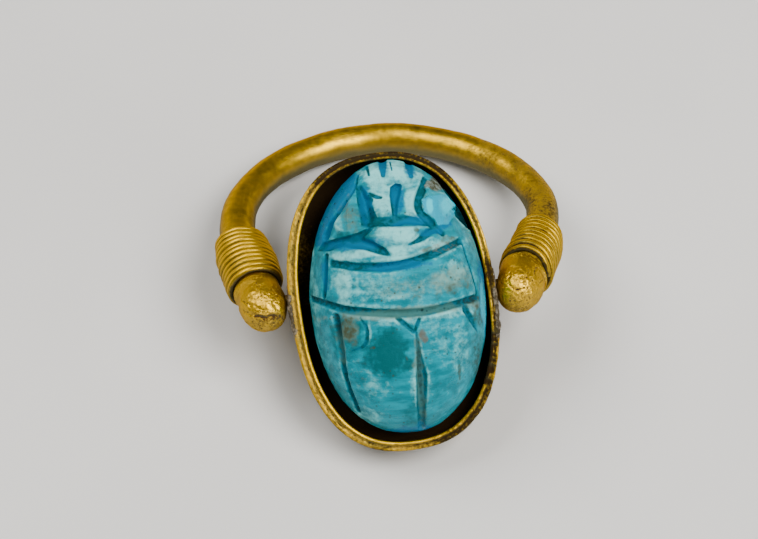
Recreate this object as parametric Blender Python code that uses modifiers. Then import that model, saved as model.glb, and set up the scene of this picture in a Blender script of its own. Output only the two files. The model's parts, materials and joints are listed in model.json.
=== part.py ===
"""Swivel finger ring: a gold hoop with wire-bound ends and a bezel that holds a blue faience scarab.

Metres, +Z up. The ring lies loose on a flat surface, on the back of its hoop and on the tail end of its
bezel. +X runs along the pivots, +Y towards the back of the hoop. The origin is under the middle of the
whole ring, on the surface.
"""

import math

import bmesh
import bpy
import numpy as np
from mathutils import Matrix, Vector

MM = 0.001

# Hoop, drawn in its own plane. Depths are measured backwards from the pivot line, reaches sideways.
HOOP_DEPTH = 18.68 * MM
HOOP_SHOULDER_LEFT = 8.85 * MM
HOOP_SHOULDER_RIGHT = 8.50 * MM
HOOP_REACH_LEFT = 10.76 * MM
HOOP_REACH_RIGHT = 11.28 * MM
HOOP_FULLNESS_LEFT = 2.04
HOOP_FULLNESS_RIGHT = 1.78
LEG_LEAN_LEFT = math.radians(14)
LEG_LEAN_RIGHT = math.radians(18)

# Bar of the hoop: at the knobs, on the legs and round the back.
BAR_RADIUS_END_LEFT = 1.56 * MM
BAR_RADIUS_END_RIGHT = 1.48 * MM
BAR_RADIUS_LEFT = 1.42 * MM
BAR_RADIUS_RIGHT = 1.20 * MM
BAR_RADIUS_BACK = 1.19 * MM
BAR_TAPER_SHARE = 0.77
BAR_STATIONS = 38
BOUND_STATIONS = 6

# Knobs, a capsule in front of each leg.
KNOB_RADIUS = 1.69 * MM
KNOB_BULGE = 0.45 * MM
KNOB_TIP = 2.40 * MM
KNOB_TIP_LEAN = 0.30 * MM
KNOB_BACK_RADIUS = 1.60 * MM
KNOB_STEPS = 16
KNOB_GAP_LEFT = 0.21 * MM
KNOB_GAP_RIGHT = 0.18 * MM

# Wire bindings over the hoop's ends. A tilt lays the upper side of each turn further back, and the bar
# swells under the wire and sits a little to the right.
WIRE_RADIUS = 0.215 * MM
WIRE_PITCH = 0.49 * MM
WIRE_TURNS_LEFT = 10.8
WIRE_TURNS_RIGHT = 8.8
WIRE_POINTS_PER_TURN = 12
BINDING_START_LEFT = 1.80 * MM
BINDING_START_RIGHT = 1.15 * MM
BINDING_TILT_LEFT = math.radians(-8)
BINDING_TILT_RIGHT = math.radians(18)
BOUND_SWELL_LEFT = 0.20 * MM
BOUND_SWELL_RIGHT = 0.15 * MM
BOUND_SIDE_SHIFT = 0.13 * MM

# Bezel: an oval box setting. Heights are measured from the pivot line, along the bezel's own normal.
BEZEL_HALF_WIDTH = 7.16 * MM
BEZEL_HALF_LENGTH = 10.40 * MM
BEZEL_SQUARENESS = 2.42
BEZEL_WALL = 0.45 * MM
BEZEL_PLATE = 0.45 * MM
BEZEL_RIM_HEIGHT = 1.90 * MM
BEZEL_BACK_DEPTH = 1.60 * MM
BEZEL_SIDE_SHIFT = -0.08 * MM
BEZEL_TAIL_SHIFT = 0.57 * MM
BEZEL_SKEW = math.radians(4.3)
OVAL_POINTS = 48

# Pivots.
PIN_RADIUS = 0.40 * MM
PIN_HEAD_RADIUS = 0.60 * MM
PIN_HEAD_HEIGHT = 0.17 * MM
PIN_HEAD_TAPER = 0.8
PIN_DEPTH_IN_KNOB = 1.45 * MM
PIN_SIDES = 16
COLLAR_RADIUS = 1.20 * MM
COLLAR_CHAMFER = 0.05 * MM
OUTER_SEAT_DEPTH = 0.12 * MM
INNER_SEAT_DEPTH = 0.10 * MM

# Clearances.
RUNNING_CLEARANCE = 0.08 * MM
FIXED_CLEARANCE = 0.03 * MM
SEAT_CLEARANCE = 0.05 * MM

# Scarab. Its carving is given in shares of its half width and half length, from its own middle.
SCARAB_SIDE_ROOM = 0.61 * MM
SCARAB_END_ROOM = 0.45 * MM
SCARAB_HALF_WIDTH = BEZEL_HALF_WIDTH - BEZEL_WALL - SCARAB_SIDE_ROOM
SCARAB_HALF_LENGTH = BEZEL_HALF_LENGTH - BEZEL_WALL - SCARAB_END_ROOM
SCARAB_HEIGHT = 7.50 * MM
SCARAB_SIDE_HEIGHT = 3.00 * MM
SCARAB_TAIL_SQUARENESS = 2.15
SCARAB_HEAD_SQUARENESS = 1.95
SCARAB_SIDE_SHIFT = 0.33 * MM
SCARAB_HEAD_SHIFT = 0.35 * MM
SCARAB_SKEW = math.radians(0.8)
DOME_SHARPNESS = 2.6
DOME_FULLNESS = 0.62
DOME_RINGS = 10
DOME_SPOKES = 36
FACE_BACK_HEIGHT = 6.20 * MM
FACE_FRONT_HEIGHT = 4.00 * MM
FACE_BACK = 0.52
FACE_CUT_FRONT = 1.2

# Margin by which a cutter runs on past what it cuts, and the slab that stands for the ground.
CUT_MARGIN = 1.0 * MM
GROUND_WIDTH = 60.0 * MM
GUIDE_SIZE = 5.0 * MM

# The way it lies.
BEZEL_SLOPE = math.radians(34.2)
BEZEL_REST_FLAT = 0.08 * MM
HOOP_REST_FLAT = 0.04 * MM

# Front edge of the chest, from just outside the left side to just outside the right one.
PRONOTUM_FRONT = [
    (-1.05, 0.33), (-0.86, 0.40), (-0.52, 0.45), (-0.34, 0.47), (-0.20, 0.535), (0.08, 0.52),
    (0.38, 0.50), (0.54, 0.475), (0.78, 0.41), (1.05, 0.34),
]

# Grooves: name, half width in shares of the half width, sink below the surface as a share of that,
# and the points that the carver's line runs through.
GROOVES = [
    ("groove_wing_joint", (0.034, 0.046, 0.048, 0.046, 0.040), 0.1,
     [(-0.985, 0.045), (-0.60, -0.048), (-0.27, -0.084), (0.09, -0.108), (0.45, -0.098), (0.86, -0.052)]),
    ("groove_chest", (0.040, 0.050, 0.048, 0.038), 0.1,
     [(-0.71, 0.290), (-0.40, 0.252), (-0.03, 0.238), (0.38, 0.288), (0.75, 0.366)]),
    ("groove_chest_side_left", (0.042, 0.036), 0.1, [(-0.77, 0.345), (-0.81, 0.175), (-0.84, 0.060)]),
    ("groove_chest_side_right", (0.016, 0.020), 0.0, [(0.77, 0.359), (0.885, 0.036), (0.885, -0.058)]),
    ("groove_wing_left", (0.046, 0.038, 0.034), 0.0,
     [(-0.725, -0.100), (-0.70, -0.324), (-0.67, -0.555), (-0.57, -0.805)]),
    ("groove_suture", (0.010, 0.030, 0.058, 0.045, 0.034), 0.1,
     [(0.158, -0.303), (0.172, -0.447), (0.179, -0.577), (0.155, -0.770), (0.137, -0.945)]),
    ("groove_notch_left", (0.034, 0.022), 0.0, [(-0.034, -0.134), (0.130, -0.243)]),
    ("groove_notch_right", (0.022, 0.020), 0.0, [(0.206, -0.154), (0.140, -0.245)]),
    ("groove_edge_notch", (0.030, 0.010), 0.0, [(0.763, -0.120), (0.849, -0.289)]),
    ("groove_neck", (0.040, 0.050, 0.036), 0.2, [(-0.13, 0.564), (0.12, 0.543), (0.385, 0.522)]),
    ("groove_face", (0.060, 0.048, 0.034), 0.2, [(0.072, 0.835), (0.057, 0.704), (0.029, 0.568)]),
    ("groove_cheek_left", (0.034, 0.060, 0.064), 0.2, [(-0.375, 0.800), (-0.257, 0.692), (-0.125, 0.576)]),
    ("groove_foreleg_left", (0.060, 0.086, 0.076), 0.4,
     [(-0.36, 0.93), (-0.46, 0.82), (-0.545, 0.698), (-0.66, 0.54), (-0.75, 0.43)]),
    ("groove_shoulder_left", (0.060, 0.060, 0.050, 0.014), 0.2,
     [(-0.80, 0.395), (-0.535, 0.448), (-0.345, 0.467), (-0.02, 0.300)]),
    ("groove_cheek_right", (0.044, 0.052, 0.036), 0.2,
     [(0.40, 0.86), (0.33, 0.745), (0.430, 0.577), (0.575, 0.476)]),
    ("groove_shoulder_right", (0.016, 0.040, 0.040), 0.2, [(0.166, 0.384), (0.351, 0.446), (0.540, 0.505)]),
    ("notch_1", (0.030, 0.018), 0.3, [(-0.225, 1.00), (-0.205, 0.900)]),
    ("notch_2", (0.026, 0.018), 0.3, [(-0.025, 1.02), (-0.021, 0.890)]),
    ("notch_3", (0.028, 0.018), 0.3, [(0.275, 1.00), (0.263, 0.880)]),
    ("notch_4", (0.026, 0.018), 0.3, [(0.430, 0.97), (0.408, 0.870)]),
]

# Where the right front of the scarab is broken away: all that lies outside this line, above the floor.
BREAK_LINE = [(0.45, 1.10), (0.566, 0.80), (0.725, 0.634), (0.715, 0.561), (0.866, 0.443), (1.20, 0.40)]
BREAK_CORNER = (1.20, 1.10)
BREAK_FLOOR = 1.20 * MM

GOLD = (0.62, 0.36, 0.06, 1.0)
BRIGHT_GOLD = (0.80, 0.50, 0.12, 1.0)
DULL_GOLD = (0.42, 0.27, 0.09, 1.0)
CRUST = (0.35, 0.26, 0.22, 1.0)
FAIENCE = (0.09, 0.42, 0.50, 1.0)


def clear_scene():
    for obj in list(bpy.data.objects):
        bpy.data.objects.remove(obj, do_unlink=True)


def make_collection(name):
    collection = bpy.data.collections.new(name)
    bpy.context.scene.collection.children.link(collection)
    return collection


def make_material(name, color, roughness, metallic):
    material = bpy.data.materials.new(name)
    material.use_nodes = True
    shader = material.node_tree.nodes["Principled BSDF"]
    shader.inputs["Base Color"].default_value = color
    shader.inputs["Roughness"].default_value = roughness
    shader.inputs["Metallic"].default_value = metallic
    return material


def add_empty(name, parent=None):
    empty = bpy.data.objects.new(name, None)
    empty.empty_display_size = GUIDE_SIZE
    GUIDES.objects.link(empty)
    empty.parent = parent
    return empty


def add_mesh(name, mesh, collection, parent):
    obj = bpy.data.objects.new(name, mesh)
    collection.objects.link(obj)
    obj.parent = parent
    return obj


def add_part(name, mesh, parent, color, roughness, metallic, sharp_degrees=35):
    """A solid of the ring, smooth-shaded, with a material of its own."""
    obj = add_mesh(name, mesh, RING, parent)
    mesh.shade_smooth()
    mesh.set_sharp_from_angle(angle=math.radians(sharp_degrees))
    mesh.materials.append(make_material(name, color, roughness, metallic))
    return obj


def add_cutter(name, mesh, parent):
    obj = add_mesh(name, mesh, GUIDES, parent)
    obj.hide_render = True
    obj.display_type = "WIRE"
    return obj


def cut(obj, cutter):
    modifier = obj.modifiers.new("cut_" + cutter.name, "BOOLEAN")
    modifier.operation = "DIFFERENCE"
    modifier.solver = "EXACT"
    modifier.object = cutter


def mesh_from_curve(name, curve):
    """The closed mesh of a curve, with its caps welded on; the curve itself is removed."""
    holder = bpy.data.objects.new(name + "_curve", curve)
    bpy.context.scene.collection.objects.link(holder)
    evaluated = holder.evaluated_get(bpy.context.evaluated_depsgraph_get())
    mesh = bpy.data.meshes.new_from_object(evaluated)
    bpy.data.objects.remove(holder, do_unlink=True)
    bpy.data.curves.remove(curve)
    bm = bmesh.new()
    bm.from_mesh(mesh)
    bmesh.ops.remove_doubles(bm, verts=bm.verts, dist=0.002 * MM)
    bmesh.ops.recalc_face_normals(bm, faces=bm.faces)
    bm.to_mesh(mesh)
    bm.free()
    mesh.name = name
    return mesh


def tube_mesh(name, points, radii, resolution):
    """A round tube along points, with a radius at each of them and flat caps."""
    curve = bpy.data.curves.new(name, "CURVE")
    curve.dimensions = "3D"
    curve.bevel_depth = 1.0
    curve.bevel_resolution = resolution
    curve.use_fill_caps = True
    spline = curve.splines.new("POLY")
    spline.points.add(len(points) - 1)
    for knot, point, radius in zip(spline.points, points, radii):
        knot.co = (point[0], point[1], point[2], 1.0)
        knot.radius = radius
    return mesh_from_curve(name, curve)


def prism_mesh(name, outline, low, high):
    """A flat outline with thickness, from the height low to the height high."""
    curve = bpy.data.curves.new(name, "CURVE")
    curve.dimensions = "2D"
    curve.fill_mode = "BOTH"
    curve.extrude = (high - low) / 2
    spline = curve.splines.new("POLY")
    spline.use_cyclic_u = True
    spline.points.add(len(outline) - 1)
    for knot, (x, y) in zip(spline.points, outline):
        knot.co = (x, y, 0.0, 1.0)
    mesh = mesh_from_curve(name, curve)
    mesh.transform(Matrix.Translation((0, 0, (low + high) / 2)))
    return mesh


def turned_mesh(name, profile, steps):
    """A solid turned about Z from (radius, height) points that run down its outer side."""
    mesh = bpy.data.meshes.new(name)
    points = [(radius, 0.0, height) for radius, height in profile]
    edges = [(i, i + 1) for i in range(len(points) - 1)]
    if profile[0][0] > 0:
        edges.append((len(points) - 1, 0))
    mesh.from_pydata(points, edges, [])
    holder = bpy.data.objects.new(name + "_profile", mesh)
    bpy.context.scene.collection.objects.link(holder)
    screw = holder.modifiers.new("turn", "SCREW")
    screw.axis = "Z"
    screw.steps = steps
    screw.render_steps = steps
    screw.use_merge_vertices = True
    screw.merge_threshold = 0.001 * MM
    evaluated = holder.evaluated_get(bpy.context.evaluated_depsgraph_get())
    solid = bpy.data.meshes.new_from_object(evaluated)
    bpy.data.objects.remove(holder, do_unlink=True)
    bpy.data.meshes.remove(mesh)
    bm = bmesh.new()
    bm.from_mesh(solid)
    bmesh.ops.recalc_face_normals(bm, faces=bm.faces)
    bm.to_mesh(solid)
    bm.free()
    solid.name = name
    return solid


def cylinder_mesh(name, radius, low, high, sides):
    """A cylinder along X, from x = low to x = high."""
    mesh = bpy.data.meshes.new(name)
    bm = bmesh.new()
    bmesh.ops.create_cone(
        bm, cap_ends=True, segments=sides, radius1=radius, radius2=radius, depth=high - low,
        matrix=Matrix.Translation(((low + high) / 2, 0, 0)) @ Matrix.Rotation(math.pi / 2, 4, "Y"),
    )
    bm.to_mesh(mesh)
    bm.free()
    return mesh


def superellipse(angle, half_width, half_length, squareness):
    across = math.cos(angle)
    along = math.sin(angle)
    x = half_width * math.copysign(abs(across) ** (2 / squareness), across)
    y = half_length * math.copysign(abs(along) ** (2 / squareness), along)
    return x, y


def bezel_oval(inset):
    turn = 2 * math.pi / OVAL_POINTS
    return [
        superellipse(i * turn, BEZEL_HALF_WIDTH - inset, BEZEL_HALF_LENGTH - inset, BEZEL_SQUARENESS)
        for i in range(OVAL_POINTS)
    ]


def smooth(value):
    value = min(max(value, 0.0), 1.0)
    return value * value * (3 - 2 * value)


def through(points, samples_per_span):
    """A smooth line through points (Catmull-Rom), as a list of numpy vectors."""
    knots = [np.array(p, dtype=float) for p in points]
    knots = [2 * knots[0] - knots[1]] + knots + [2 * knots[-1] - knots[-2]]
    line = []
    for a, b, c, d in zip(knots, knots[1:], knots[2:], knots[3:]):
        for i in range(samples_per_span):
            t = i / samples_per_span
            bend = (2 * a - 5 * b + 4 * c - d) * t * t + (3 * b - a - 3 * c + d) * t ** 3
            line.append(b + 0.5 * ((c - a) * t + bend))
    line.append(knots[-2])
    return line


class Route:
    """A line through many points that can be read by the distance run along it."""

    def __init__(self, points):
        self.points = np.array(points, dtype=float)
        steps = np.linalg.norm(np.diff(self.points, axis=0), axis=1)
        self.runs = np.concatenate([[0.0], np.cumsum(steps)])
        self.length = float(self.runs[-1])

    def at(self, distance):
        return np.array([np.interp(distance, self.runs, self.points[:, k]) for k in range(3)])

    def heading(self, distance):
        reach = 0.05 * MM
        low = max(distance - reach, 0.0)
        high = min(distance + reach, self.length)
        step = self.at(high) - self.at(low)
        return step / np.linalg.norm(step)


def wall_reach(side, inset):
    """How far the bezel's wall stands from the middle, on the pivot line, on one side."""
    corner = BEZEL_HALF_WIDTH - inset
    length = BEZEL_HALF_LENGTH - inset
    along = BEZEL_TAIL_SHIFT / length
    face = corner * (1 - along ** BEZEL_SQUARENESS) ** (1 / BEZEL_SQUARENESS)
    return face / math.cos(BEZEL_SKEW) + side * (BEZEL_SIDE_SHIFT - BEZEL_TAIL_SHIFT * math.tan(BEZEL_SKEW))


def outer_seat(side):
    return wall_reach(side, 0.0) - OUTER_SEAT_DEPTH


def inner_seat(side):
    return wall_reach(side, BEZEL_WALL) + INNER_SEAT_DEPTH


class End:
    """One end of the hoop: its leg, binding and knob."""

    def __init__(self, name, side, hoop, bar, binding, gap):
        self.name = name
        self.side = side
        self.reach, self.shoulder, self.fullness, self.lean = hoop
        self.bar_radius, self.bar_end_radius = bar
        self.start, self.turns, self.tilt, self.swell = binding
        self.bound_to = self.start + WIRE_PITCH * self.turns
        self.knob_face = wall_reach(side, 0.0) + gap
        self.pivot_reach = self.knob_face + KNOB_RADIUS


def hoop_side(end):
    """Half of the hoop's centre line, from a pivot round to the middle of the back."""
    points = []
    leg_steps = 120
    for i in range(leg_steps):
        share = i / leg_steps
        spread = (end.reach - end.pivot_reach) * smooth(share)
        spread += end.shoulder * math.tan(end.lean) * share * (1 - share) ** 2
        points.append((end.side * (end.pivot_reach + spread), end.shoulder * share, 0.0))
    arc_steps = 160
    for i in range(arc_steps + 1):
        angle = 0.5 * math.pi * i / arc_steps
        across, rise = superellipse(angle, end.reach, HOOP_DEPTH - end.shoulder, end.fullness)
        points.append((end.side * across, end.shoulder + rise, 0.0))
    return points


def hoop_route():
    return Route(hoop_side(LEFT) + hoop_side(RIGHT)[-2::-1])


def bar_at(route, distance):
    """Place and radius of the bar: swollen under the wire, slimmer on the leg and on towards the back."""
    half = route.length / 2
    end = LEFT if distance < half else RIGHT
    run = min(distance, route.length - distance)
    leg = end.bar_radius + (BAR_RADIUS_BACK - end.bar_radius) * smooth(run / (BAR_TAPER_SHARE * half))
    leg += (end.bar_end_radius - end.bar_radius) * (1 - min(run / end.bound_to, 1.0))
    share = min(max((run - end.start) / (end.bound_to - end.start), 0.0), 1.0)
    swelling = math.sqrt(max(math.sin(math.pi * share), 0.0))
    return route.at(distance) + np.array([BOUND_SIDE_SHIFT * swelling, 0, 0]), leg + end.swell * swelling


def run_along(route, end, run):
    """Heading and distance on the hoop's line, with the run and the heading counted away from the knob."""
    distance = run if end.side < 0 else route.length - run
    return -end.side * route.heading(distance), distance


def knob_back(end):
    """How far up the leg the knob meets the binding."""
    return end.start - WIRE_RADIUS - SEAT_CLEARANCE


def build_hoop(route, floor):
    start_left = knob_back(LEFT) + SEAT_CLEARANCE
    start_right = knob_back(RIGHT) + SEAT_CLEARANCE
    left_end = LEFT.bound_to + WIRE_PITCH * 2
    right_end = RIGHT.bound_to + WIRE_PITCH * 2
    stations = list(np.linspace(start_left, left_end, BOUND_STATIONS))[:-1]
    stations += list(np.linspace(left_end, route.length - right_end, BAR_STATIONS))
    stations += list(np.linspace(route.length - right_end, route.length - start_right, BOUND_STATIONS))[1:]
    bar = [bar_at(route, distance) for distance in stations]
    mesh = tube_mesh("hoop", [place for place, _ in bar], [radius for _, radius in bar], 4)
    hoop = add_part("hoop", mesh, HOOP_FRAME, GOLD, 0.35, 1.0)
    cut(hoop, floor)
    for end in (LEFT, RIGHT):
        cut(hoop, add_cutter("knob_seat_" + end.name, knob_mesh(route, end, SEAT_CLEARANCE), HOOP_FRAME))


def build_wire_binding(route, end):
    """One wire, wound close round the hoop's end."""
    up = np.array([0.0, 0.0, 1.0])
    points = []
    for i in range(int(end.turns * WIRE_POINTS_PER_TURN) + 1):
        turn = i / WIRE_POINTS_PER_TURN
        angle = 2 * math.pi * turn
        heading, distance = run_along(route, end, end.start + WIRE_PITCH * turn)
        place, radius = bar_at(route, distance)
        coil_radius = radius + SEAT_CLEARANCE + WIRE_RADIUS
        side = np.cross(heading, up)
        lift = math.sin(angle) * coil_radius
        points.append(place + math.cos(angle) * coil_radius * side + lift * (up + math.tan(end.tilt) * heading))
    name = "wire_binding_" + end.name
    mesh = tube_mesh(name, points, [WIRE_RADIUS] * len(points), 1)
    add_part(name, mesh, HOOP_FRAME, BRIGHT_GOLD, 0.35, 1.0, 60)


def knob_profile(back, grow):
    """Radius and height from the back down over the bulge to the rounded tip."""
    waist = KNOB_BACK_RADIUS / KNOB_RADIUS
    upper = (back + KNOB_BULGE) / math.sqrt(1 - waist ** 2)
    profile = [(0.0, back + grow)]
    for i in range(5):
        angle = math.acos(waist) * (1 - i / 4)
        radius = KNOB_RADIUS * math.cos(angle) + grow
        profile.append((radius, upper * math.sin(angle) - KNOB_BULGE + (grow if i == 0 else 0.0)))
    lower = KNOB_TIP - KNOB_BULGE + grow
    for i in range(1, 7):
        angle = 0.5 * math.pi * i / 6
        radius = (KNOB_RADIUS + grow) * math.cos(angle) if i < 6 else 0.0
        profile.append((radius, -KNOB_BULGE - lower * math.sin(angle)))
    return profile


def knob_mesh(route, end, grow):
    """A capsule with its tip turned in towards the bezel, bent to meet its leaning, tilted binding."""
    back = knob_back(end)
    mesh = turned_mesh("knob_" + end.name, knob_profile(back, grow), KNOB_STEPS)
    mesh.transform(Matrix.Rotation(-math.pi / 2, 4, "X"))
    heading, distance = run_along(route, end, back)
    place = route.at(distance)
    for vert in mesh.vertices:
        share = smooth(vert.co.y / back)
        vert.co.x -= end.side * KNOB_TIP_LEAN * smooth(-vert.co.y / KNOB_TIP)
        slant = vert.co.z * math.tan(end.tilt) - vert.co.x * heading[0] / heading[1]
        vert.co.x += place[0] - (1 - share) * (place[0] - end.side * end.pivot_reach)
        vert.co.y += share * (slant + place[1] - back)
    return mesh


def build_knob(route, end):
    """The cap on the hoop's end, bored for its pivot pin."""
    name = "knob_" + end.name
    knob = add_part(name, knob_mesh(route, end, 0.0), HOOP_FRAME, BRIGHT_GOLD, 0.3, 1.0, 50)
    inner = end.knob_face - CUT_MARGIN
    outer = end.knob_face + PIN_DEPTH_IN_KNOB + FIXED_CLEARANCE
    bore = cylinder_mesh(name + "_bore", PIN_RADIUS + FIXED_CLEARANCE, inner, outer, PIN_SIDES)
    bore_cutter = add_cutter(name + "_bore", bore, HOOP_FRAME)
    bore_cutter.scale.x = end.side
    cut(knob, bore_cutter)


def build_pivot(end):
    """A pin held in the knob, its head spread inside the wall, and the collar round it."""
    head_face = inner_seat(end.side) - FIXED_CLEARANCE
    shaft_end = end.knob_face + PIN_DEPTH_IN_KNOB
    pin_profile = [
        (0.0, shaft_end),
        (PIN_RADIUS, shaft_end),
        (PIN_RADIUS, head_face),
        (PIN_HEAD_RADIUS, head_face),
        (PIN_HEAD_RADIUS, head_face - PIN_HEAD_HEIGHT / 2),
        (PIN_HEAD_RADIUS * PIN_HEAD_TAPER, head_face - PIN_HEAD_HEIGHT),
        (0.0, head_face - PIN_HEAD_HEIGHT),
    ]
    along_x = Matrix.Rotation(end.side * math.pi / 2, 4, "Y")
    pin = turned_mesh("pivot_pin_" + end.name, pin_profile, PIN_SIDES)
    pin.transform(along_x)
    add_part("pivot_pin_" + end.name, pin, HOOP_FRAME, DULL_GOLD, 0.4, 1.0)

    foot = outer_seat(end.side) + FIXED_CLEARANCE
    bore = PIN_RADIUS + RUNNING_CLEARANCE
    lip = end.knob_face - RUNNING_CLEARANCE
    collar_profile = [
        (bore, lip),
        (COLLAR_RADIUS - COLLAR_CHAMFER, lip),
        (COLLAR_RADIUS, lip - COLLAR_CHAMFER),
        (COLLAR_RADIUS, foot),
        (bore, foot),
    ]
    collar = turned_mesh("pivot_collar_" + end.name, collar_profile, PIN_SIDES)
    collar.transform(along_x)
    add_part("pivot_collar_" + end.name, collar, BEZEL_FRAME, CRUST, 0.8, 0.6)


def add_wall_cutters(bezel):
    """Bores for the pins, and flat seats round them inside and outside the wall."""
    for end in (LEFT, RIGHT):
        inside = inner_seat(end.side)
        outside = outer_seat(end.side)
        stations = (
            ("bore", PIN_RADIUS + RUNNING_CLEARANCE, inside - CUT_MARGIN, outside + CUT_MARGIN),
            ("outer_seat", COLLAR_RADIUS + FIXED_CLEARANCE, outside, outside + CUT_MARGIN),
            ("inner_seat", PIN_HEAD_RADIUS + RUNNING_CLEARANCE, inside - CUT_MARGIN, inside),
        )
        for label, radius, low, high in stations:
            name = "wall_" + label + "_" + end.name
            cutter = add_cutter(name, cylinder_mesh(name, radius, low, high, PIN_SIDES), BEZEL_FRAME)
            cutter.scale.x = end.side
            cut(bezel, cutter)


def build_bezel(floor):
    """A box setting: the oval blank, hollowed from the front down to its back plate."""
    blank = prism_mesh("bezel", bezel_oval(0.0), -BEZEL_BACK_DEPTH, BEZEL_RIM_HEIGHT)
    bezel = add_part("bezel", blank, BEZEL_OVAL, DULL_GOLD, 0.4, 1.0)
    plate_top = BEZEL_PLATE - BEZEL_BACK_DEPTH
    pocket = prism_mesh("bezel_pocket", bezel_oval(BEZEL_WALL), plate_top, BEZEL_RIM_HEIGHT + CUT_MARGIN)
    cut(bezel, add_cutter("bezel_pocket", pocket, BEZEL_OVAL))
    add_wall_cutters(bezel)
    cut(bezel, floor)


def scarab_squareness(y):
    return SCARAB_HEAD_SQUARENESS if y > 0 else SCARAB_TAIL_SQUARENESS


def dome_height(x, y):
    """Height of the back at a place given in shares of the half width and half length."""
    power = scarab_squareness(y)
    ring = (abs(x) ** power + abs(y) ** power) ** (1 / power)
    rise = max(1 - ring ** DOME_SHARPNESS, 0.0) ** DOME_FULLNESS
    return SCARAB_SIDE_HEIGHT + (SCARAB_HEIGHT - SCARAB_SIDE_HEIGHT) * rise


def face_height(y):
    """Height of the sloping plane that the head is carved from."""
    share = (y - FACE_BACK) / (1 - FACE_BACK)
    return FACE_BACK_HEIGHT + (FACE_FRONT_HEIGHT - FACE_BACK_HEIGHT) * share


def carved_height(x, y):
    front = np.interp(x, [p[0] for p in PRONOTUM_FRONT], [p[1] for p in PRONOTUM_FRONT])
    if y > front:
        return min(dome_height(x, y), face_height(y))
    return dome_height(x, y)


def on_scarab(x, y, height):
    return (x * SCARAB_HALF_WIDTH, y * SCARAB_HALF_LENGTH, height)


def dome_mesh():
    """A sphere drawn out to the beetle's oval: a domed back, upright sides and a flat base."""
    mesh = bpy.data.meshes.new("scarab")
    bm = bmesh.new()
    bands = DOME_RINGS + 3
    bmesh.ops.create_uvsphere(bm, u_segments=DOME_SPOKES, v_segments=bands, radius=1.0)
    for vert in bm.verts:
        band = round(math.acos(min(max(vert.co.z, -1), 1)) / math.pi * bands)
        angle = math.atan2(vert.co.y, vert.co.x)
        edge_x, edge_y = superellipse(angle, 1.0, 1.0, scarab_squareness(math.sin(angle)))
        share = math.sin(0.5 * math.pi * min(band / DOME_RINGS, 1.0))
        height = dome_height(edge_x * share, edge_y * share)
        if band == DOME_RINGS + 1:
            height = 0.0
        elif band == DOME_RINGS + 2:
            share = 0.5
            height = 0.0
        elif band == bands:
            share = 0.0
            height = 0.0
        vert.co = on_scarab(edge_x * share, edge_y * share, height)
    bmesh.ops.recalc_face_normals(bm, faces=bm.faces)
    bm.to_mesh(mesh)
    bm.free()
    return mesh


def face_cutter_mesh():
    """All that stands above the head's sloping plane, in front of the chest's front edge."""
    corners = [(PRONOTUM_FRONT[-1][0], FACE_CUT_FRONT), (PRONOTUM_FRONT[0][0], FACE_CUT_FRONT)]
    outline = PRONOTUM_FRONT + corners
    mesh = bpy.data.meshes.new("face_cut")
    bm = bmesh.new()
    floor_verts = [bm.verts.new(on_scarab(x, y, face_height(y))) for x, y in outline]
    face = bm.faces.new(floor_verts)
    top = bmesh.ops.extrude_face_region(bm, geom=[face])["geom"]
    bmesh.ops.translate(
        bm, vec=(0, 0, SCARAB_HEIGHT), verts=[item for item in top if isinstance(item, bmesh.types.BMVert)]
    )
    bmesh.ops.recalc_face_normals(bm, faces=bm.faces)
    bm.to_mesh(mesh)
    bm.free()
    return mesh


def break_cutter_mesh():
    """The broken corner: a block outside the break line, from the break's floor upwards."""
    outline = [on_scarab(x, y, 0)[:2] for x, y in BREAK_LINE + [BREAK_CORNER]]
    return prism_mesh("break_cut", outline, BREAK_FLOOR, SCARAB_HEIGHT)


def groove_mesh(name, half_widths, sink, points):
    """A tube that follows the carved surface and leaves a round-bottomed groove in it."""
    line = through(points, 3)
    widths = np.interp(
        np.linspace(0, 1, len(line)), np.linspace(0, 1, len(half_widths)), half_widths
    )
    places = []
    radii = []
    for (x, y), width in zip(line, widths):
        radius = width * SCARAB_HALF_WIDTH
        places.append(on_scarab(x, y, carved_height(x, y) - sink * radius))
        radii.append(radius)
    return tube_mesh(name, places, radii, 1)


def build_scarab():
    scarab = add_part("scarab", dome_mesh(), BEZEL_FRAME, FAIENCE, 0.3, 0.0, 30)
    scarab.location = (
        BEZEL_SIDE_SHIFT + SCARAB_SIDE_SHIFT,
        SCARAB_HEAD_SHIFT - BEZEL_TAIL_SHIFT,
        BEZEL_PLATE - BEZEL_BACK_DEPTH + SEAT_CLEARANCE,
    )
    scarab.rotation_euler.z = SCARAB_SKEW
    cut(scarab, add_cutter("face_cut", face_cutter_mesh(), scarab))
    cut(scarab, add_cutter("break_cut", break_cutter_mesh(), scarab))
    for name, half_widths, sink, points in GROOVES:
        cut(scarab, add_cutter(name, groove_mesh(name, half_widths, sink, points), scarab))


def bezel_drop():
    """How far the bezel's lowest edge hangs under the pivot line when the bezel slopes."""
    skewed = [
        (x * math.sin(BEZEL_SKEW) + y * math.cos(BEZEL_SKEW)) for x, y in bezel_oval(0.0)
    ]
    tail_reach = BEZEL_TAIL_SHIFT - min(skewed)
    return tail_reach * math.sin(BEZEL_SLOPE) + BEZEL_BACK_DEPTH * math.cos(BEZEL_SLOPE)


def set_rest_pose():
    """Tilts hoop and bezel so that both touch the ground, and returns the pivot line's height."""
    pivot_height = bezel_drop() - BEZEL_REST_FLAT
    hoop_fall = pivot_height - (BAR_RADIUS_BACK - HOOP_REST_FLAT)
    HOOP_FRAME.rotation_euler.x = -math.asin(hoop_fall / HOOP_DEPTH)
    BEZEL_FRAME.rotation_euler.x = BEZEL_SLOPE
    BEZEL_OVAL.rotation_euler.z = BEZEL_SKEW
    BEZEL_OVAL.location = (BEZEL_SIDE_SHIFT, -BEZEL_TAIL_SHIFT, 0)
    HOOP_FRAME.location.z = pivot_height
    BEZEL_FRAME.location.z = pivot_height


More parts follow.
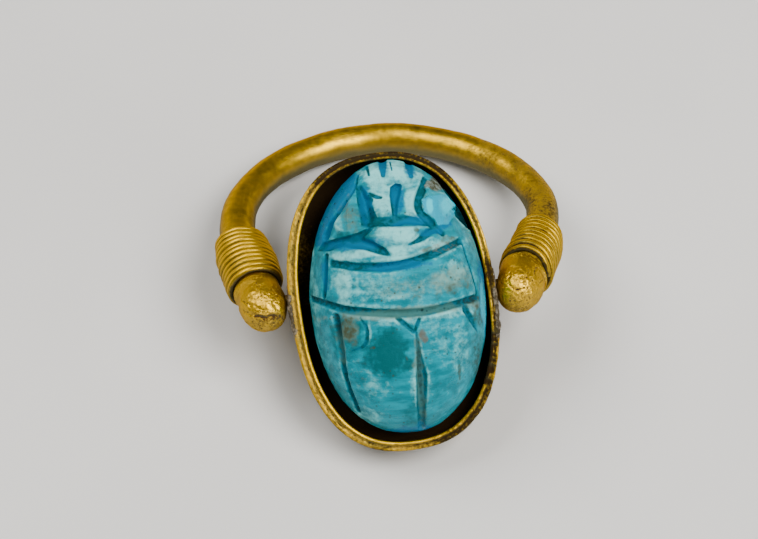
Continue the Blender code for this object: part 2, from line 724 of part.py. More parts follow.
def floor_cutter():
    """A slab under the ground, which leaves the two worn spots that the ring rests on."""
    mesh = bpy.data.meshes.new("ground")
    bm = bmesh.new()
    bmesh.ops.create_cube(bm, size=GROUND_WIDTH, matrix=Matrix.Translation((0, 0, -GROUND_WIDTH / 2)))
    bm.to_mesh(mesh)
    bm.free()
    return add_cutter("ground", mesh, GROUND_FRAME)


def centre_over_ground():
    """Moves the ring so that the middle of its box stands over the origin."""
    bpy.context.view_layer.update()
    depsgraph = bpy.context.evaluated_depsgraph_get()
    corners = []
    for obj in RING.objects:
        evaluated = obj.evaluated_get(depsgraph)
        world = evaluated.matrix_world
        corners += [world @ vert.co for vert in evaluated.data.vertices]
    for axis in (0, 1):
        values = [corner[axis] for corner in corners]
        GROUND_FRAME.location[axis] -= (min(values) + max(values)) / 2
    bpy.context.view_layer.update()


clear_scene()
RING = make_collection("swivel_scarab_ring")
GUIDES = make_collection("guides")
GROUND_FRAME = add_empty("ground_frame")
HOOP_FRAME = add_empty("hoop_frame", GROUND_FRAME)
BEZEL_FRAME = add_empty("bezel_frame", GROUND_FRAME)
BEZEL_OVAL = add_empty("bezel_oval", BEZEL_FRAME)

set_rest_pose()
ground = floor_cutter()
LEFT = End(
    "left", -1, (HOOP_REACH_LEFT, HOOP_SHOULDER_LEFT, HOOP_FULLNESS_LEFT, LEG_LEAN_LEFT),
    (BAR_RADIUS_LEFT, BAR_RADIUS_END_LEFT),
    (BINDING_START_LEFT, WIRE_TURNS_LEFT, BINDING_TILT_LEFT, BOUND_SWELL_LEFT), KNOB_GAP_LEFT,
)
RIGHT = End(
    "right", 1, (HOOP_REACH_RIGHT, HOOP_SHOULDER_RIGHT, HOOP_FULLNESS_RIGHT, LEG_LEAN_RIGHT),
    (BAR_RADIUS_RIGHT, BAR_RADIUS_END_RIGHT),
    (BINDING_START_RIGHT, WIRE_TURNS_RIGHT, BINDING_TILT_RIGHT, BOUND_SWELL_RIGHT), KNOB_GAP_RIGHT,
)
hoop_line = hoop_route()
build_hoop(hoop_line, ground)
for hoop_end in (LEFT, RIGHT):
    build_wire_binding(hoop_line, hoop_end)
    build_knob(hoop_line, hoop_end)
    build_pivot(hoop_end)
build_bezel(ground)
build_scarab()
centre_over_ground()
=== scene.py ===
"""A swivel finger ring: a gold hoop with wire-bound ends, and a gold bezel that holds a blue faience scarab.

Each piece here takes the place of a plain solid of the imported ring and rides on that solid's body. All
shapes are worked out from the sizes below, in metres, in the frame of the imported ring.
"""

import json
import math

import bmesh
import bpy
import numpy as np
from bpy.props import FloatProperty, FloatVectorProperty, IntProperty, PointerProperty
from mathutils import Matrix, Vector, noise


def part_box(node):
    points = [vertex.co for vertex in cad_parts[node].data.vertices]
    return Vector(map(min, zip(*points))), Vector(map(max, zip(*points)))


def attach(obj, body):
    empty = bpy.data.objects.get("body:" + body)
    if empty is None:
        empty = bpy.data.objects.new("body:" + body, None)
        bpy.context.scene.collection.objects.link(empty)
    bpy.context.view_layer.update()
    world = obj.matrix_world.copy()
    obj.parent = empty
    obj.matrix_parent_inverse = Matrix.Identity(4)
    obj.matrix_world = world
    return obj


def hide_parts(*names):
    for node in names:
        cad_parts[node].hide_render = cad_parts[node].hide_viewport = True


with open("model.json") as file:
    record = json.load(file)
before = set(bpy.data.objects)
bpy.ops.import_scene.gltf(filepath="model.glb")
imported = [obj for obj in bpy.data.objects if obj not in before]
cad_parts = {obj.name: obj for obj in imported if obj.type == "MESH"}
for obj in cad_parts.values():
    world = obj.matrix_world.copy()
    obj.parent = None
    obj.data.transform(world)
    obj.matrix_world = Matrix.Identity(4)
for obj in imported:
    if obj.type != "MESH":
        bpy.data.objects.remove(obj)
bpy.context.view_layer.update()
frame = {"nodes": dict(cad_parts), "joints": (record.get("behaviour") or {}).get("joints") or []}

bl_info = {
    "name": "Swivel Scarab Ring",
    "version": (1, 0, 0),
    "blender": (4, 5, 0),
    "location": "View3D > Sidebar > Scarab Ring",
    "description": "Dresses a swivel finger ring with worn gold, wound wire and a glazed scarab",
    "category": "Add Mesh",
}

MM = 0.001
PIVOT = Vector(frame["joints"][0]["pos_m"])
UP = np.array([0.0, 0.0, 1.0])

# Painted shade: gold keeps its own colour where it faces up more than this, and is fully darkened to a dull
# olive this much lower.
UNSHADED_RISE = 0.85
SHADE_SPAN = 0.75

# Steps along each leg and each half of the curve of the hoop's line, and points round the pieces.
LEG_STEPS = 120
CURVE_STEPS = 160
HOOP_STATIONS, HOOP_SIDES = 420, 56
WIRE_PER_TURN, WIRE_SIDES = 40, 18
KNOB_BACK_ROWS, KNOB_FRONT_ROWS, KNOB_SIDES = 25, 45, 120
LINE_STEPS = 6
COLLAR_ROWS, COLLAR_SIDES = 14, 96
BEZEL_STATIONS, BORE_SIDES = 640, 48

# Seeds of the noise. Pieces on the left end use the one below, and on the right end the one above.
HOOP_SEED = 1
TURNS_SEED, WOBBLE_SEED, RUBBED_SEED = 11, 21, 25
KNOB_SEED = 30
COLLAR_SEED = 41
BEZEL_SEED = 51
SCARAB_SEED = 61


# Kinds of settings. Each has a name, a description and a default.


def length(name, description, millimetres):
    return FloatProperty(
        name=name, description=description, default=millimetres * MM,
        unit="LENGTH", subtype="DISTANCE", precision=6,
    )


def number(name, description, value):
    return FloatProperty(name=name, description=description, default=value)


def steps(name, description, value):
    return IntProperty(name=name, description=description, default=value)


def angle(name, description, degrees):
    return FloatProperty(
        name=name, description=description, default=math.radians(degrees), unit="ROTATION", subtype="ANGLE"
    )


def colour(name, description, red, green, blue):
    return FloatVectorProperty(
        name=name, description=description, default=(red, green, blue), subtype="COLOR", min=0.0, max=1.0
    )


# The same for both ends of the hoop, the left one first.


def numbers(name, description, left, right, **more):
    return FloatVectorProperty(name=name, description=description, default=(left, right), size=2, **more)


def lengths(name, description, left, right):
    return numbers(name, description, left * MM, right * MM, unit="LENGTH", precision=6)


def angles(name, description, left, right):
    return numbers(name, description, math.radians(left), math.radians(right), unit="ROTATION")


class HoopSettings(bpy.types.PropertyGroup):
    depth: length("Depth", "From the pivot line to the middle of the back", 18.68)
    pivot: lengths("Pivots", "From the middle to each knob's middle", 9.2005, 8.9247)
    shoulder: lengths("Shoulders", "Depth at which each leg runs into the curve", 8.85, 8.50)
    reach: lengths("Reach", "Widest reach of each half", 10.76, 11.28)
    fullness: numbers("Fullness", "Squareness of each half's curve", 2.04, 1.78)
    lean: angles("Lean", "How far each leg leans out at the knob", 14, 18)
    radius: lengths("Radius", "Bar's radius on each leg", 1.42, 1.20)
    radius_back: length("Radius back", "Bar's radius round the back", 1.19)
    end_radius: lengths("End radius", "Bar's radius at each knob", 1.56, 1.48)
    taper_share: number("Taper share", "Share of each half that thins out", 0.77)
    dent: length("Dents", "Depth of the soft dents in the bar", 0.07)
    rest_flat: length("Rest flat", "Depth of the worn spot the hoop lies on", 0.04)


class BindingSettings(bpy.types.PropertyGroup):
    wire_radius: length("Wire radius", "Half the wire's thickness", 0.236)
    pitch: length("Pitch", "From one turn to the next", 0.49)
    turns: numbers("Turns", "Turns on each leg", 10.8, 8.8)
    start: lengths("Start", "From the pivot line to the first turn", 1.80, 1.15)
    tilt: angles("Tilt", "How the turns lie aslant", -8, 18)
    swell: lengths("Swell", "How the bar thickens under the wire", 0.20, 0.15)
    side_shift: length("Side shift", "How far the bound bars sit to the right", 0.13)
    bed: length("Bed", "Room between bar and wire", 0.04)
    looseness: length("Looseness", "How unevenly the turns lie", 0.075)


class KnobSettings(bpy.types.PropertyGroup):
    radius: length("Radius", "Knob's radius", 1.69)
    back_radius: length("Back radius", "Radius where the knob meets the wire", 1.60)
    bulge: length("Bulge", "From the pivot line forward to the widest place", 0.45)
    tip: length("Tip", "From the pivot line forward to the tip", 2.40)
    tip_lean: length("Tip lean", "How far the tip turns in", 0.30)
    seat: length("Seat", "Room between knob and wire", 0.05)
    crumple: length("Crumple", "Depth of the crumpling", 0.13)


class PivotSettings(bpy.types.PropertyGroup):
    pin_radius: length("Pin radius", "Radius of the pivot pins", 0.40)
    head_radius: length("Head radius", "Radius of the spread end inside the wall", 0.60)
    collar_radius: length("Collar radius", "Radius of the crusted collars", 1.20)
    running_gap: length("Running gap", "Room round a pin, and between collar and knob", 0.08)
    seat_gap: length("Seat gap", "Room round a collar's seat", 0.03)
    outer_seat: length("Outer seat", "Depth of the collar's seat in the wall", 0.12)
    inner_seat: length("Inner seat", "Depth of the pin's seat in the wall", 0.10)
    overcut: length("Overcut", "How far the cutter passes the wall", 1.00)


class BezelSettings(bpy.types.PropertyGroup):
    slope: angle("Slope", "How the bezel slopes as the ring lies", 34.2)
    half_width: length("Half width", "Half the oval's width", 7.16)
    half_length: length("Half length", "Half the oval's length", 10.40)
    squareness: number("Squareness", "Squareness of the oval", 2.42)
    wall: length("Wall", "Thickness of the wall", 0.45)
    plate: length("Plate", "Thickness of the back plate", 0.45)
    rim_height: length("Rim height", "From the pivot line up to the rim", 1.90)
    rim_swell: length("Rim swell", "How much thicker the rim gets on its left", 0.29)
    back_depth: length("Back depth", "From the pivot line down to the back", 1.60)
    side_shift: length("Side shift", "Oval's middle to the right of the middle", -0.08)
    tail_shift: length("Tail shift", "Oval's middle towards the tail", 0.57)
    skew: angle("Skew", "How the oval is turned on its back", 4.3)


class ScarabSettings(bpy.types.PropertyGroup):
    half_width: length("Half width", "Half the beetle's width", 6.10)
    half_length: length("Half length", "Half the beetle's length", 9.50)
    height: length("Height", "From its base to the top of its back", 7.50)
    side_height: length("Side height", "From its base to where the back curves over", 3.00)
    tail_squareness: number("Tail squareness", "Squareness of the rear outline", 2.15)
    head_squareness: number("Head squareness", "Squareness of the front outline", 1.95)
    side_shift: length("Side shift", "Beetle's middle to the right of the bezel's", 0.33)
    head_shift: length("Head shift", "Beetle's middle ahead of the bezel's", 0.35)
    skew: angle("Skew", "How the beetle is turned", 0.8)
    sharpness: number("Sharpness", "How late the back curves down", 2.6)
    fullness: number("Fullness", "How round the back's edge is", 0.62)
    face_back_height: length("Face back height", "Height of the head's plane at the neck", 6.20)
    face_front_height: length("Face front height", "Height of the head's plane at the front", 4.00)
    face_back: number("Face back", "Share of the half length where the head begins", 0.52)
    seat: length("Seat", "Room under the beetle's base", 0.05)
    break_floor: length("Break floor", "Height that the broken corner is open down to", 1.20)
    rows: steps("Rows", "Points along the beetle", 320)
    columns: steps("Columns", "Points across the beetle", 220)


class FinishSettings(bpy.types.PropertyGroup):
    gold: colour("Gold", "Worn gold", 0.465, 0.288, 0.006)
    bright_gold: colour("Bright gold", "Rubbed gold on edges", 0.84, 0.505, 0.012)
    tarnish: colour("Tarnish", "Tarnished gold", 0.178, 0.136, 0.026)
    brown_gold: colour("Brown gold", "Dull gold of the bezel", 0.31, 0.192, 0.024)
    dirt: colour("Dirt", "Earth in the hollows", 0.020, 0.011, 0.006)
    # Painted shade: the dull olive laid over gold that faces sideways or down.
    skin: colour("Dull skin", "Olive skin on gold that faces sideways or down", 0.116, 0.107, 0.048)
    crust: colour("Crust", "Grey crust on the pivots", 0.22, 0.18, 0.125)
    turquoise: colour("Turquoise", "Glaze on the back", 0.0, 0.290, 0.365)
    deep_blue: colour("Deep blue", "Glaze where it pooled", 0.0, 0.115, 0.170)
    bright_blue: colour("Bright blue", "Glaze kept under the rim", 0.0, 0.138, 0.268)
    teal: colour("Teal", "Glaze that turned green", 0.0, 0.100, 0.112)
    # Also the colour of the painted highlight along the left foreleg's outer edge.
    pale: colour("Pale", "Glaze rubbed thin", 0.22, 0.68, 0.67)
    stain: colour("Stain", "Brown stain in the glaze", 0.046, 0.044, 0.012)
    body: colour("Body", "Rough body under the glaze", 0.20, 0.26, 0.23)


class StageSettings(bpy.types.PropertyGroup):
    azimuth: angle("Azimuth", "Camera's turn about the ring", -1.74)
    elevation: angle("Elevation", "Camera's height above the horizon", 58.0)
    roll: angle("Roll", "Camera's roll", -2.9)
    distance: length("Distance", "From the camera to the pivots", 200.0)
    focal_length: number("Focal length", "Lens in millimetres", 135.83)
    aim_across: number("Aim across", "Pivots right of the middle, per distance", 0.0050)
    aim_down: number("Aim down", "Pivots below the middle, per distance", 0.00804)
    floor_size: length("Floor size", "Width of the floor", 1200.0)
    floor: colour("Floor", "Pale floor", 0.80, 0.79, 0.77)


SETTINGS = {
    "ring_hoop": HoopSettings,
    "ring_binding": BindingSettings,
    "ring_knob": KnobSettings,
    "ring_pivot": PivotSettings,
    "ring_bezel": BezelSettings,
    "ring_scarab": ScarabSettings,
    "ring_finish": FinishSettings,
    "ring_stage": StageSettings,
}


def settings(name):
    """The scene's settings for one part of the ring."""
    return getattr(bpy.context.scene, "ring_" + name)


# Small tools for lines, surfaces and meshes.


def smooth(value):
    value = np.clip(value, 0.0, 1.0)
    return value * value * (3 - 2 * value)


def superellipse(turn, half_width, half_length, squareness):
    across = np.cos(turn)
    along = np.sin(turn)
    x = half_width * np.sign(across) * np.abs(across) ** (2 / squareness)
    y = half_length * np.sign(along) * np.abs(along) ** (2 / squareness)
    return x, y


def unit(vectors):
    return vectors / np.linalg.norm(vectors, axis=-1, keepdims=True)


def through(points, samples):
    """A smooth line through points, with samples on each span."""
    knots = [np.array(p, dtype=float) for p in points]
    knots = [2 * knots[0] - knots[1]] + knots + [2 * knots[-1] - knots[-2]]
    line = []
    for a, b, c, d in zip(knots, knots[1:], knots[2:], knots[3:]):
        for i in range(samples):
            t = i / samples
            bend = (2 * a - 5 * b + 4 * c - d) * t * t + (3 * b - a - 3 * c + d) * t ** 3
            line.append(b + 0.5 * ((c - a) * t + bend))
    line.append(knots[-2])
    return np.array(line)


def nearest_on_line(points, line, widths):
    """Distance from each point to a line as a share of its half width there, and that half width."""
    best = np.full(len(points), 99.0)
    width = np.zeros(len(points))
    for a, b, width_a, width_b in zip(line, line[1:], widths, widths[1:]):
        step = b - a
        share = np.clip((points - a) @ step / max(step @ step, 1e-18), 0.0, 1.0)
        local = width_a + (width_b - width_a) * share
        gap = np.linalg.norm(points - a - share[:, None] * step, axis=1) / local
        closer = gap < best
        best[closer] = gap[closer]
        width[closer] = local[closer]
    return best, width


def inside_outline(x, y, outline):
    """Which points lie inside a flat outline."""
    inside = np.zeros(x.shape, dtype=bool)
    for (xa, ya), (xb, yb) in zip(outline, outline[1:] + outline[:1]):
        if ya == yb:
            continue
        crosses = ((ya > y) != (yb > y)) & (x < xa + (xb - xa) * (y - ya) / (yb - ya))
        inside ^= crosses
    return inside


def grain(points, size, seed, octaves):
    """Soft noise from -1 to 1 at each point, with features of the given size."""
    shift = Vector((seed * 7.31, seed * 3.17, seed * 5.93))
    return np.array([
        noise.fractal(Vector(p) / size + shift, 1.0, 2.0, octaves) for p in points
    ])


def grid_faces(rows, columns, closed):
    """Quads over a grid of points, whose columns may close into a ring."""
    across = columns if closed else columns - 1
    row, column = np.meshgrid(np.arange(rows - 1), np.arange(across), indexing="ij")
    a = row * columns + column
    b = row * columns + (column + 1) % columns
    return np.stack([a, b, b + columns, a + columns], axis=-1).reshape(-1, 4).tolist()


def add_mask(mesh, name, values):
    """A value for each point of a mesh, which the finishes read by its name."""
    attribute = mesh.attributes.new(name, "FLOAT", "POINT")
    attribute.data.foreach_set("value", np.asarray(values, dtype=np.float32))


def make_mesh(name, points, faces, masks=None):
    mesh = bpy.data.meshes.new(name)
    mesh.from_pydata([tuple(p) for p in points], [], faces)
    bm = bmesh.new()
    bm.from_mesh(mesh)
    bmesh.ops.recalc_face_normals(bm, faces=bm.faces)
    bm.to_mesh(mesh)
    bm.free()
    for mask, values in (masks or {}).items():
        add_mask(mesh, mask, values)
    return mesh


def add_object(name, data):
    obj = bpy.data.objects.new(name, data)
    bpy.context.scene.collection.objects.link(obj)
    return obj


def add_piece(mesh, material, body, slot, *nodes, sharp=50):
    """A piece of the ring that rides on a body, in place of plain solids."""
    obj = add_object(mesh.name, mesh)
    mesh.shade_smooth()
    mesh.set_sharp_from_angle(angle=math.radians(sharp))
    mesh.materials.append(material)
    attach(obj, body)
    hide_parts(*nodes)


def circle(count):
    """Angles spaced evenly round a full turn."""
    return np.linspace(0, 2 * math.pi, count, endpoint=False)


def closed_faces(rows, columns, first_tip, last_tip):
    """Quads over a pile of rings, and triangles from a point to the first ring and to the last."""
    last = (rows - 1) * columns
    faces = grid_faces(rows, columns, True)
    faces += [[first_tip, (i + 1) % columns, i] for i in range(columns)]
    faces += [[last_tip, last + i, last + (i + 1) % columns] for i in range(columns)]
    return faces


def capped_tube(centres, side, lift, radii, sides):
    """Points and faces of a closed tube: one ring of points round each centre, and a point at each end."""
    turn = circle(sides)[None, :, None]
    radii = np.asarray(radii)
    if radii.ndim == 1:
        radii = np.repeat(radii[:, None], sides, axis=1)
    arm = np.cos(turn) * side[:, None, :] + np.sin(turn) * lift[:, None, :]
    rings = centres[:, None, :] + radii[..., None] * arm
    points = np.concatenate([rings.reshape(-1, 3), centres[:1], centres[-1:]])
    return points, closed_faces(len(centres), sides, len(points) - 2, len(points) - 1)


def moved(points, matrix):
    """Points taken through a matrix."""
    m = np.array(matrix)
    return points @ m[:3, :3].T + m[:3, 3]


def laid(points, matrix):
    """Points taken through a matrix, and kept from going below the floor."""
    points = moved(points, matrix)
    points[:, 2] = np.maximum(points[:, 2], 0.0)
    return points


def bend_at_points(mesh, reach):
    """How sharply a mesh bends at each point, evened out over so many steps: in above 0, out below it."""
    count = len(mesh.vertices)
    place = np.array([v.co for v in mesh.vertices])
    normal = np.array([v.normal for v in mesh.vertices])
    edges = np.empty(len(mesh.edges) * 2, dtype=int)
    mesh.edges.foreach_get("vertices", edges)
    a, b = edges.reshape(-1, 2).T
    degree = np.maximum(np.bincount(np.concatenate([a, b]), minlength=count), 1)
    step = place[b] - place[a]
    size = np.maximum(np.linalg.norm(step, axis=1), 1e-9)
    bend = np.bincount(a, ((step * normal[a]).sum(1) / size), count)
    bend -= np.bincount(b, ((step * normal[b]).sum(1) / size), count)
    bend /= degree
    for _ in range(reach):
        spread = np.bincount(a, bend[b], count) + np.bincount(b, bend[a], count)
        bend = 0.5 * bend + 0.5 * spread / degree
    return bend


def add_wear_masks(mesh, reach, strength):
    """Where dirt gathers, where the gold is rubbed bright, and where painted shade darkens it.

    The painted shade lies on the sides and underneath as the ring lies, and not on top.
    """
    bend = bend_at_points(mesh, reach) * strength
    add_mask(mesh, "hollow", np.clip(bend, 0, 1))
    add_mask(mesh, "edge", np.clip(-bend, 0, 1))
    add_facing_shade_mask(mesh)


def add_facing_shade_mask(mesh):
    # Painted shade: marks how far gold faces sideways or down, to be darkened to a dull olive.
    rise = np.array([v.normal.z for v in mesh.vertices])
    add_mask(mesh, "dull", smooth((UNSHADED_RISE - rise) / SHADE_SPAN))


# The hoop's line and its two ends.


class End:
    """One end of the hoop: its side, its leg's line, its bar and its binding."""

    def __init__(self, name, side):
        self.name = name
        self.side = side
        place = 0 if side < 0 else 1
        for key in ("pivot", "shoulder", "reach", "fullness", "lean", "radius", "end_radius"):
            setattr(self, key, getattr(settings("hoop"), key)[place])
        for key in ("turns", "start", "tilt", "swell"):
            setattr(self, key, getattr(settings("binding"), key)[place])
        self.bound_to = self.start + settings("binding").pitch * self.turns

    def half_line(self):
        """Half of the hoop's middle line, from this pivot round to the middle of the back."""
        hoop = settings("hoop")
        share = np.arange(LEG_STEPS) / LEG_STEPS
        spread = (self.reach - self.pivot) * smooth(share)
        spread = spread + self.shoulder * math.tan(self.lean) * share * (1 - share) ** 2
        leg = np.stack([self.pivot + spread, self.shoulder * share, 0 * share], axis=1)
        turn = np.linspace(0, math.pi / 2, CURVE_STEPS + 1)
        across, rise = superellipse(turn, self.reach, hoop.depth - self.shoulder, self.fullness)
        curve = np.stack([across, self.shoulder + rise, 0 * turn], axis=1)
        line = np.concatenate([leg, curve])
        line[:, 0] *= self.side
        return line


class HoopLine:
    """The hoop's middle line in its own plane, read by the distance run along it from the left pivot."""

    def __init__(self):
        self.left = End("left", -1)
        self.right = End("right", 1)
        self.points = np.concatenate([self.left.half_line(), self.right.half_line()[-2::-1]])
        spans = np.linalg.norm(np.diff(self.points, axis=0), axis=1)
        self.runs = np.concatenate([[0.0], np.cumsum(spans)])
        self.length = self.runs[-1]

    def at(self, distance):
        return np.stack([np.interp(distance, self.runs, self.points[:, k]) for k in range(3)], axis=-1)

    def heading(self, distance):
        reach = 0.05 * MM
        low = np.maximum(distance - reach, 0.0)
        high = np.minimum(distance + reach, self.length)
        return unit(self.at(high) - self.at(low))

    def bar(self, distance):
        """Middle and radius of the bar: swollen under the wire, slimmer on towards the back."""
        hoop = settings("hoop")
        half = self.length / 2
        middle = self.at(distance)
        radius = np.zeros(len(distance))
        for end in (self.left, self.right):
            run = distance if end.side < 0 else self.length - distance
            leg = end.radius + (hoop.radius_back - end.radius) * smooth(run / (hoop.taper_share * half))
            leg = leg + (end.end_radius - end.radius) * (1 - np.minimum(run / end.bound_to, 1.0))
            share = np.clip((run - end.start) / (end.bound_to - end.start), 0.0, 1.0)
            swelling = np.sqrt(np.maximum(np.sin(math.pi * share), 0.0))
            near = run <= half
            radius[near] = (leg + end.swell * swelling)[near]
            middle[near, 0] += (settings("binding").side_shift * swelling)[near]
        return middle, radius

    def from_knob(self, end, run):
        """Distance along the line, and heading away from the knob, for a run counted from the knob."""
        distance = run if end.side < 0 else self.length - run
        return distance, -end.side * self.heading(distance)


def hoop_frame():
    hoop = settings("hoop")
    fall = PIVOT.z - (hoop.radius_back - hoop.rest_flat)
    return Matrix.Translation(PIVOT) @ Matrix.Rotation(-math.asin(fall / hoop.depth), 4, "X")


def bezel_frame():
    return Matrix.Translation(PIVOT) @ Matrix.Rotation(settings("bezel").slope, 4, "X")


def knob_back(end):
    """How far up the leg the knob meets the wire."""
    return end.start - settings("binding").wire_radius - settings("knob").seat


# Materials.

# Uniform colours that only one finish uses.
PALE_LIME = (0.72, 0.68, 0.60)
DUST_ON_GLAZE = (0.20, 0.26, 0.18)
DUST_IN_GROOVES = (0.050, 0.155, 0.140)
STAIN_IN_GROOVES = (0.012, 0.034, 0.036)
RUST = (0.13, 0.080, 0.040)
# Colours of the broken facets, the pale one partly a painted highlight. Both also paint light onto the strip
# on the right flank that lies in the rim's shadow.
CHIP_AND_LIT_BLUE = (0.0, 0.35, 0.50)
CHIP_PALE_AND_HIGHLIGHT = (0.02, 0.66, 0.80)
PIN_GOLD = (0.16, 0.10, 0.03)
KNOB_GOLD = (0.80, 0.48, 0.022)
KNOB_DIRT = (0.050, 0.024, 0.012)


class Tree:
    """Adds nodes to a tree, each linked to what feeds it."""

    def __init__(self, tree):
        self.nodes = tree.nodes
        self.links = tree.links

    def feed(self, node, feeds):
        """Links a node's inputs to other nodes, or sets them to values."""
        for key, value in feeds.items():
            socket = node.inputs[key]
            if isinstance(value, bpy.types.NodeSocket):
                self.links.new(value, socket)
            elif socket.type == "RGBA":
                socket.default_value = (*value[:3], 1.0)
            else:
                socket.default_value = value

    def add(self, kind, feeds=None, **options):
        node = self.nodes.new(kind)
        for key, value in options.items():
            setattr(node, key, value)
        self.feed(node, feeds or {})
        return node

    def group(self, tree, **feeds):
        """A node group's outputs, with its inputs named as arguments."""
        named = {key.replace("_", " "): value for key, value in feeds.items()}
        return self.add("ShaderNodeGroup", named, node_tree=tree).outputs

    def mix(self, share, first, second):
        """The first colour, with a share of the second over it."""
        feeds = {0: share, 6: first, 7: second}
        return self.add("ShaderNodeMix", feeds, data_type="RGBA", clamp_factor=True).outputs[2]

    def math(self, operation, first, second, clamp=False):
        feeds = {0: first, 1: second}
        return self.add("ShaderNodeMath", feeds, operation=operation, use_clamp=clamp).outputs[0]

    def plus(self, total, value, factor=None, clamp=False):
        """A total, plus a value or so much of it."""
        part = value if factor is None else self.math("MULTIPLY", value, factor)
        return self.math("ADD", total, part, clamp)

    def times(self, value, factor):
        return self.math("MULTIPLY", value, factor)

    def less(self, total, value, factor=None):
        """A total, less a value or so much of it."""
        part = value if factor is None else self.math("MULTIPLY", value, factor)
        return self.math("SUBTRACT", total, part)

    def swing(self, value, factor):
        """Noise from 0 to 1, made to swing about 0."""
        return self.times(self.less(value, 0.5), factor)

    def spread(self, value, low, high, to_low=0.0, to_high=1.0):
        """A value spread from one range to another, eased at both ends."""
        feeds = {"Value": value, "From Min": low, "From Max": high, "To Min": to_low, "To Max": to_high}
        return self.add("ShaderNodeMapRange", feeds, interpolation_type="SMOOTHSTEP").outputs[0]

    def mask(self, name):
        return self.add("ShaderNodeAttribute", attribute_name=name).outputs["Fac"]

    def place(self, stretch=(1.0, 1.0, 1.0), turn=(0.0, 0.0, 0.0)):
        where = self.add("ShaderNodeTexCoord").outputs["Object"]
        return self.add("ShaderNodeMapping", {"Vector": where, "Scale": stretch, "Rotation": turn}).outputs[0]

    def noise(self, size_mm, detail, rough=0.55, where=None, distortion=0.0):
        """Soft noise from 0 to 1, with features of the given size."""
        return self.add("ShaderNodeTexNoise", {
            "Vector": where or self.place(), "Scale": 1.0 / (size_mm * MM),
            "Detail": detail, "Roughness": rough, "Distortion": distortion,
        }).outputs["Fac"]

    def bump(self, height, distance):
        """Normals bumped by a height."""
        feeds = {"Height": height, "Distance": distance, "Strength": 1.0}
        return self.add("ShaderNodeBump", feeds).outputs[0]

    def pits(self, size, share):
        return self.group(shared_group("small_pits", build_speckle), Size=size, Share=share)

    def scratches(self, width, amount):
        return self.group(shared_group("fine_scratches", build_scratches), Width=width, Amount=amount)["Mask"]


def group_tree(name, inputs, outputs):
    """An empty node group with named inputs and outputs, and its tree, input node and output node."""
    tree = bpy.data.node_groups.new(name, "ShaderNodeTree")
    for socket, kind, default in inputs:
        made = tree.interface.new_socket(name=socket, in_out="INPUT", socket_type="NodeSocket" + kind)
        made.default_value = (*default, 1.0) if kind == "Color" else default
    for socket, kind in outputs:
        tree.interface.new_socket(name=socket, in_out="OUTPUT", socket_type="NodeSocket" + kind)
    builder = Tree(tree)
    return tree, builder, builder.add("NodeGroupInput").outputs, builder.add("NodeGroupOutput")


def shared_group(name, build):
    """The named node group, built once."""
    return bpy.data.node_groups.get(name) or build(name)


def build_speckle(name):
    """Small round pits: a mask and a height."""
    tree, t, given, out = group_tree(
        name, [("Size", "Float", 0.0004), ("Share", "Float", 0.25)], [("Mask", "Float"), ("Height", "Float")]
    )
    scale = t.math("DIVIDE", 1.0, given["Size"])
    cells = t.add("ShaderNodeTexVoronoi", {"Vector": t.place(), "Scale": scale}, feature="F1").outputs
    chance = t.add("ShaderNodeSeparateColor", {"Color": cells["Color"]}).outputs[0]
    pit = t.spread(t.less(t.times(given["Share"], chance), cells["Distance"]), 0.0, 0.12)
    t.feed(out, {"Mask": pit, "Height": t.less(1.0, pit)})
    return tree


def build_scratches(name):
    """Fine scratches that run one way: a mask."""
    tree, t, given, out = group_tree(
        name, [("Width", "Float", 0.00006), ("Amount", "Float", 0.5)], [("Mask", "Float")]
    )
    scale = t.math("DIVIDE", 1.0, given["Width"])
    masks = []
    for turn in (0.05, -0.35):
        feeds = {"Vector": t.place((0.03, 1.0, 1.0), (0.0, 0.0, turn)), "Scale": scale}
        lines = t.add("ShaderNodeTexNoise", {**feeds, "Detail": 2.0, "Roughness": 0.5}).outputs["Fac"]
        masks.append(t.spread(lines, 0.60, 0.70))
    broken = t.spread(t.noise(1.6, 3.0), 0.42, 0.62)
    total = t.times(t.math("MAXIMUM", *masks), broken)
    t.feed(out, {"Mask": t.times(total, given["Amount"])})
    return tree


def build_aged_gold(name):
    """Worn gold: rubbed bright on its edges, tarnished in patches, with earth in its hollows."""
    tree, t, given, out = group_tree(
        name,
        [
            ("Gold", "Color", (0.8, 0.5, 0.1)), ("Bright", "Color", (1.0, 0.7, 0.25)),
            ("Tarnish", "Color", (0.4, 0.2, 0.05)), ("Dirt", "Color", (0.05, 0.03, 0.02)),
            ("Hollow", "Float", 0.0), ("Edge", "Float", 0.0), ("Grime", "Float", 0.1),
            ("Tarnish Amount", "Float", 0.4), ("Roughness", "Float", 0.35),
        ],
        [("Color", "Color"), ("Roughness", "Float"), ("Metal", "Float"), ("Height", "Float")],
    )
    clouds = t.noise(1.7, 5.0, 0.6)
    fine = t.noise(0.22, 4.0, 0.6)
    tarnish = t.times(t.spread(clouds, 0.40, 0.66), given["Tarnish Amount"])
    base = t.mix(tarnish, given["Gold"], given["Tarnish"])
    base = t.mix(t.spread(given["Edge"], 0.10, 0.7), base, given["Bright"])
    pits = t.pits(0.00045, 0.30)
    dirt = t.plus(given["Grime"], given["Hollow"], 0.85)
    dirt = t.plus(t.plus(dirt, t.swing(clouds, 0.9)), t.swing(fine, 1.1))
    dirt = t.spread(t.plus(dirt, pits["Mask"], 0.15), 0.35, 1.0)
    rough = t.plus(given["Roughness"], t.swing(fine, 0.25))
    bumps = t.plus(t.times(fine, 0.5), pits["Height"], 0.2)
    t.feed(out, {
        "Color": t.mix(dirt, base, given["Dirt"]),
        "Roughness": t.plus(rough, dirt, 0.4, clamp=True),
        "Metal": t.less(1.0, dirt, 0.9),
        "Height": t.plus(bumps, dirt, 0.3),
    })
    return tree


def new_material(name):
    """A material of its own, its tree and its shader."""
    material = bpy.data.materials.new(name)
    material.use_nodes = True
    shader = material.node_tree.nodes["Principled BSDF"]
    return material, Tree(material.node_tree), shader


def scaled(shade, factor):
    return tuple(factor * c for c in shade)


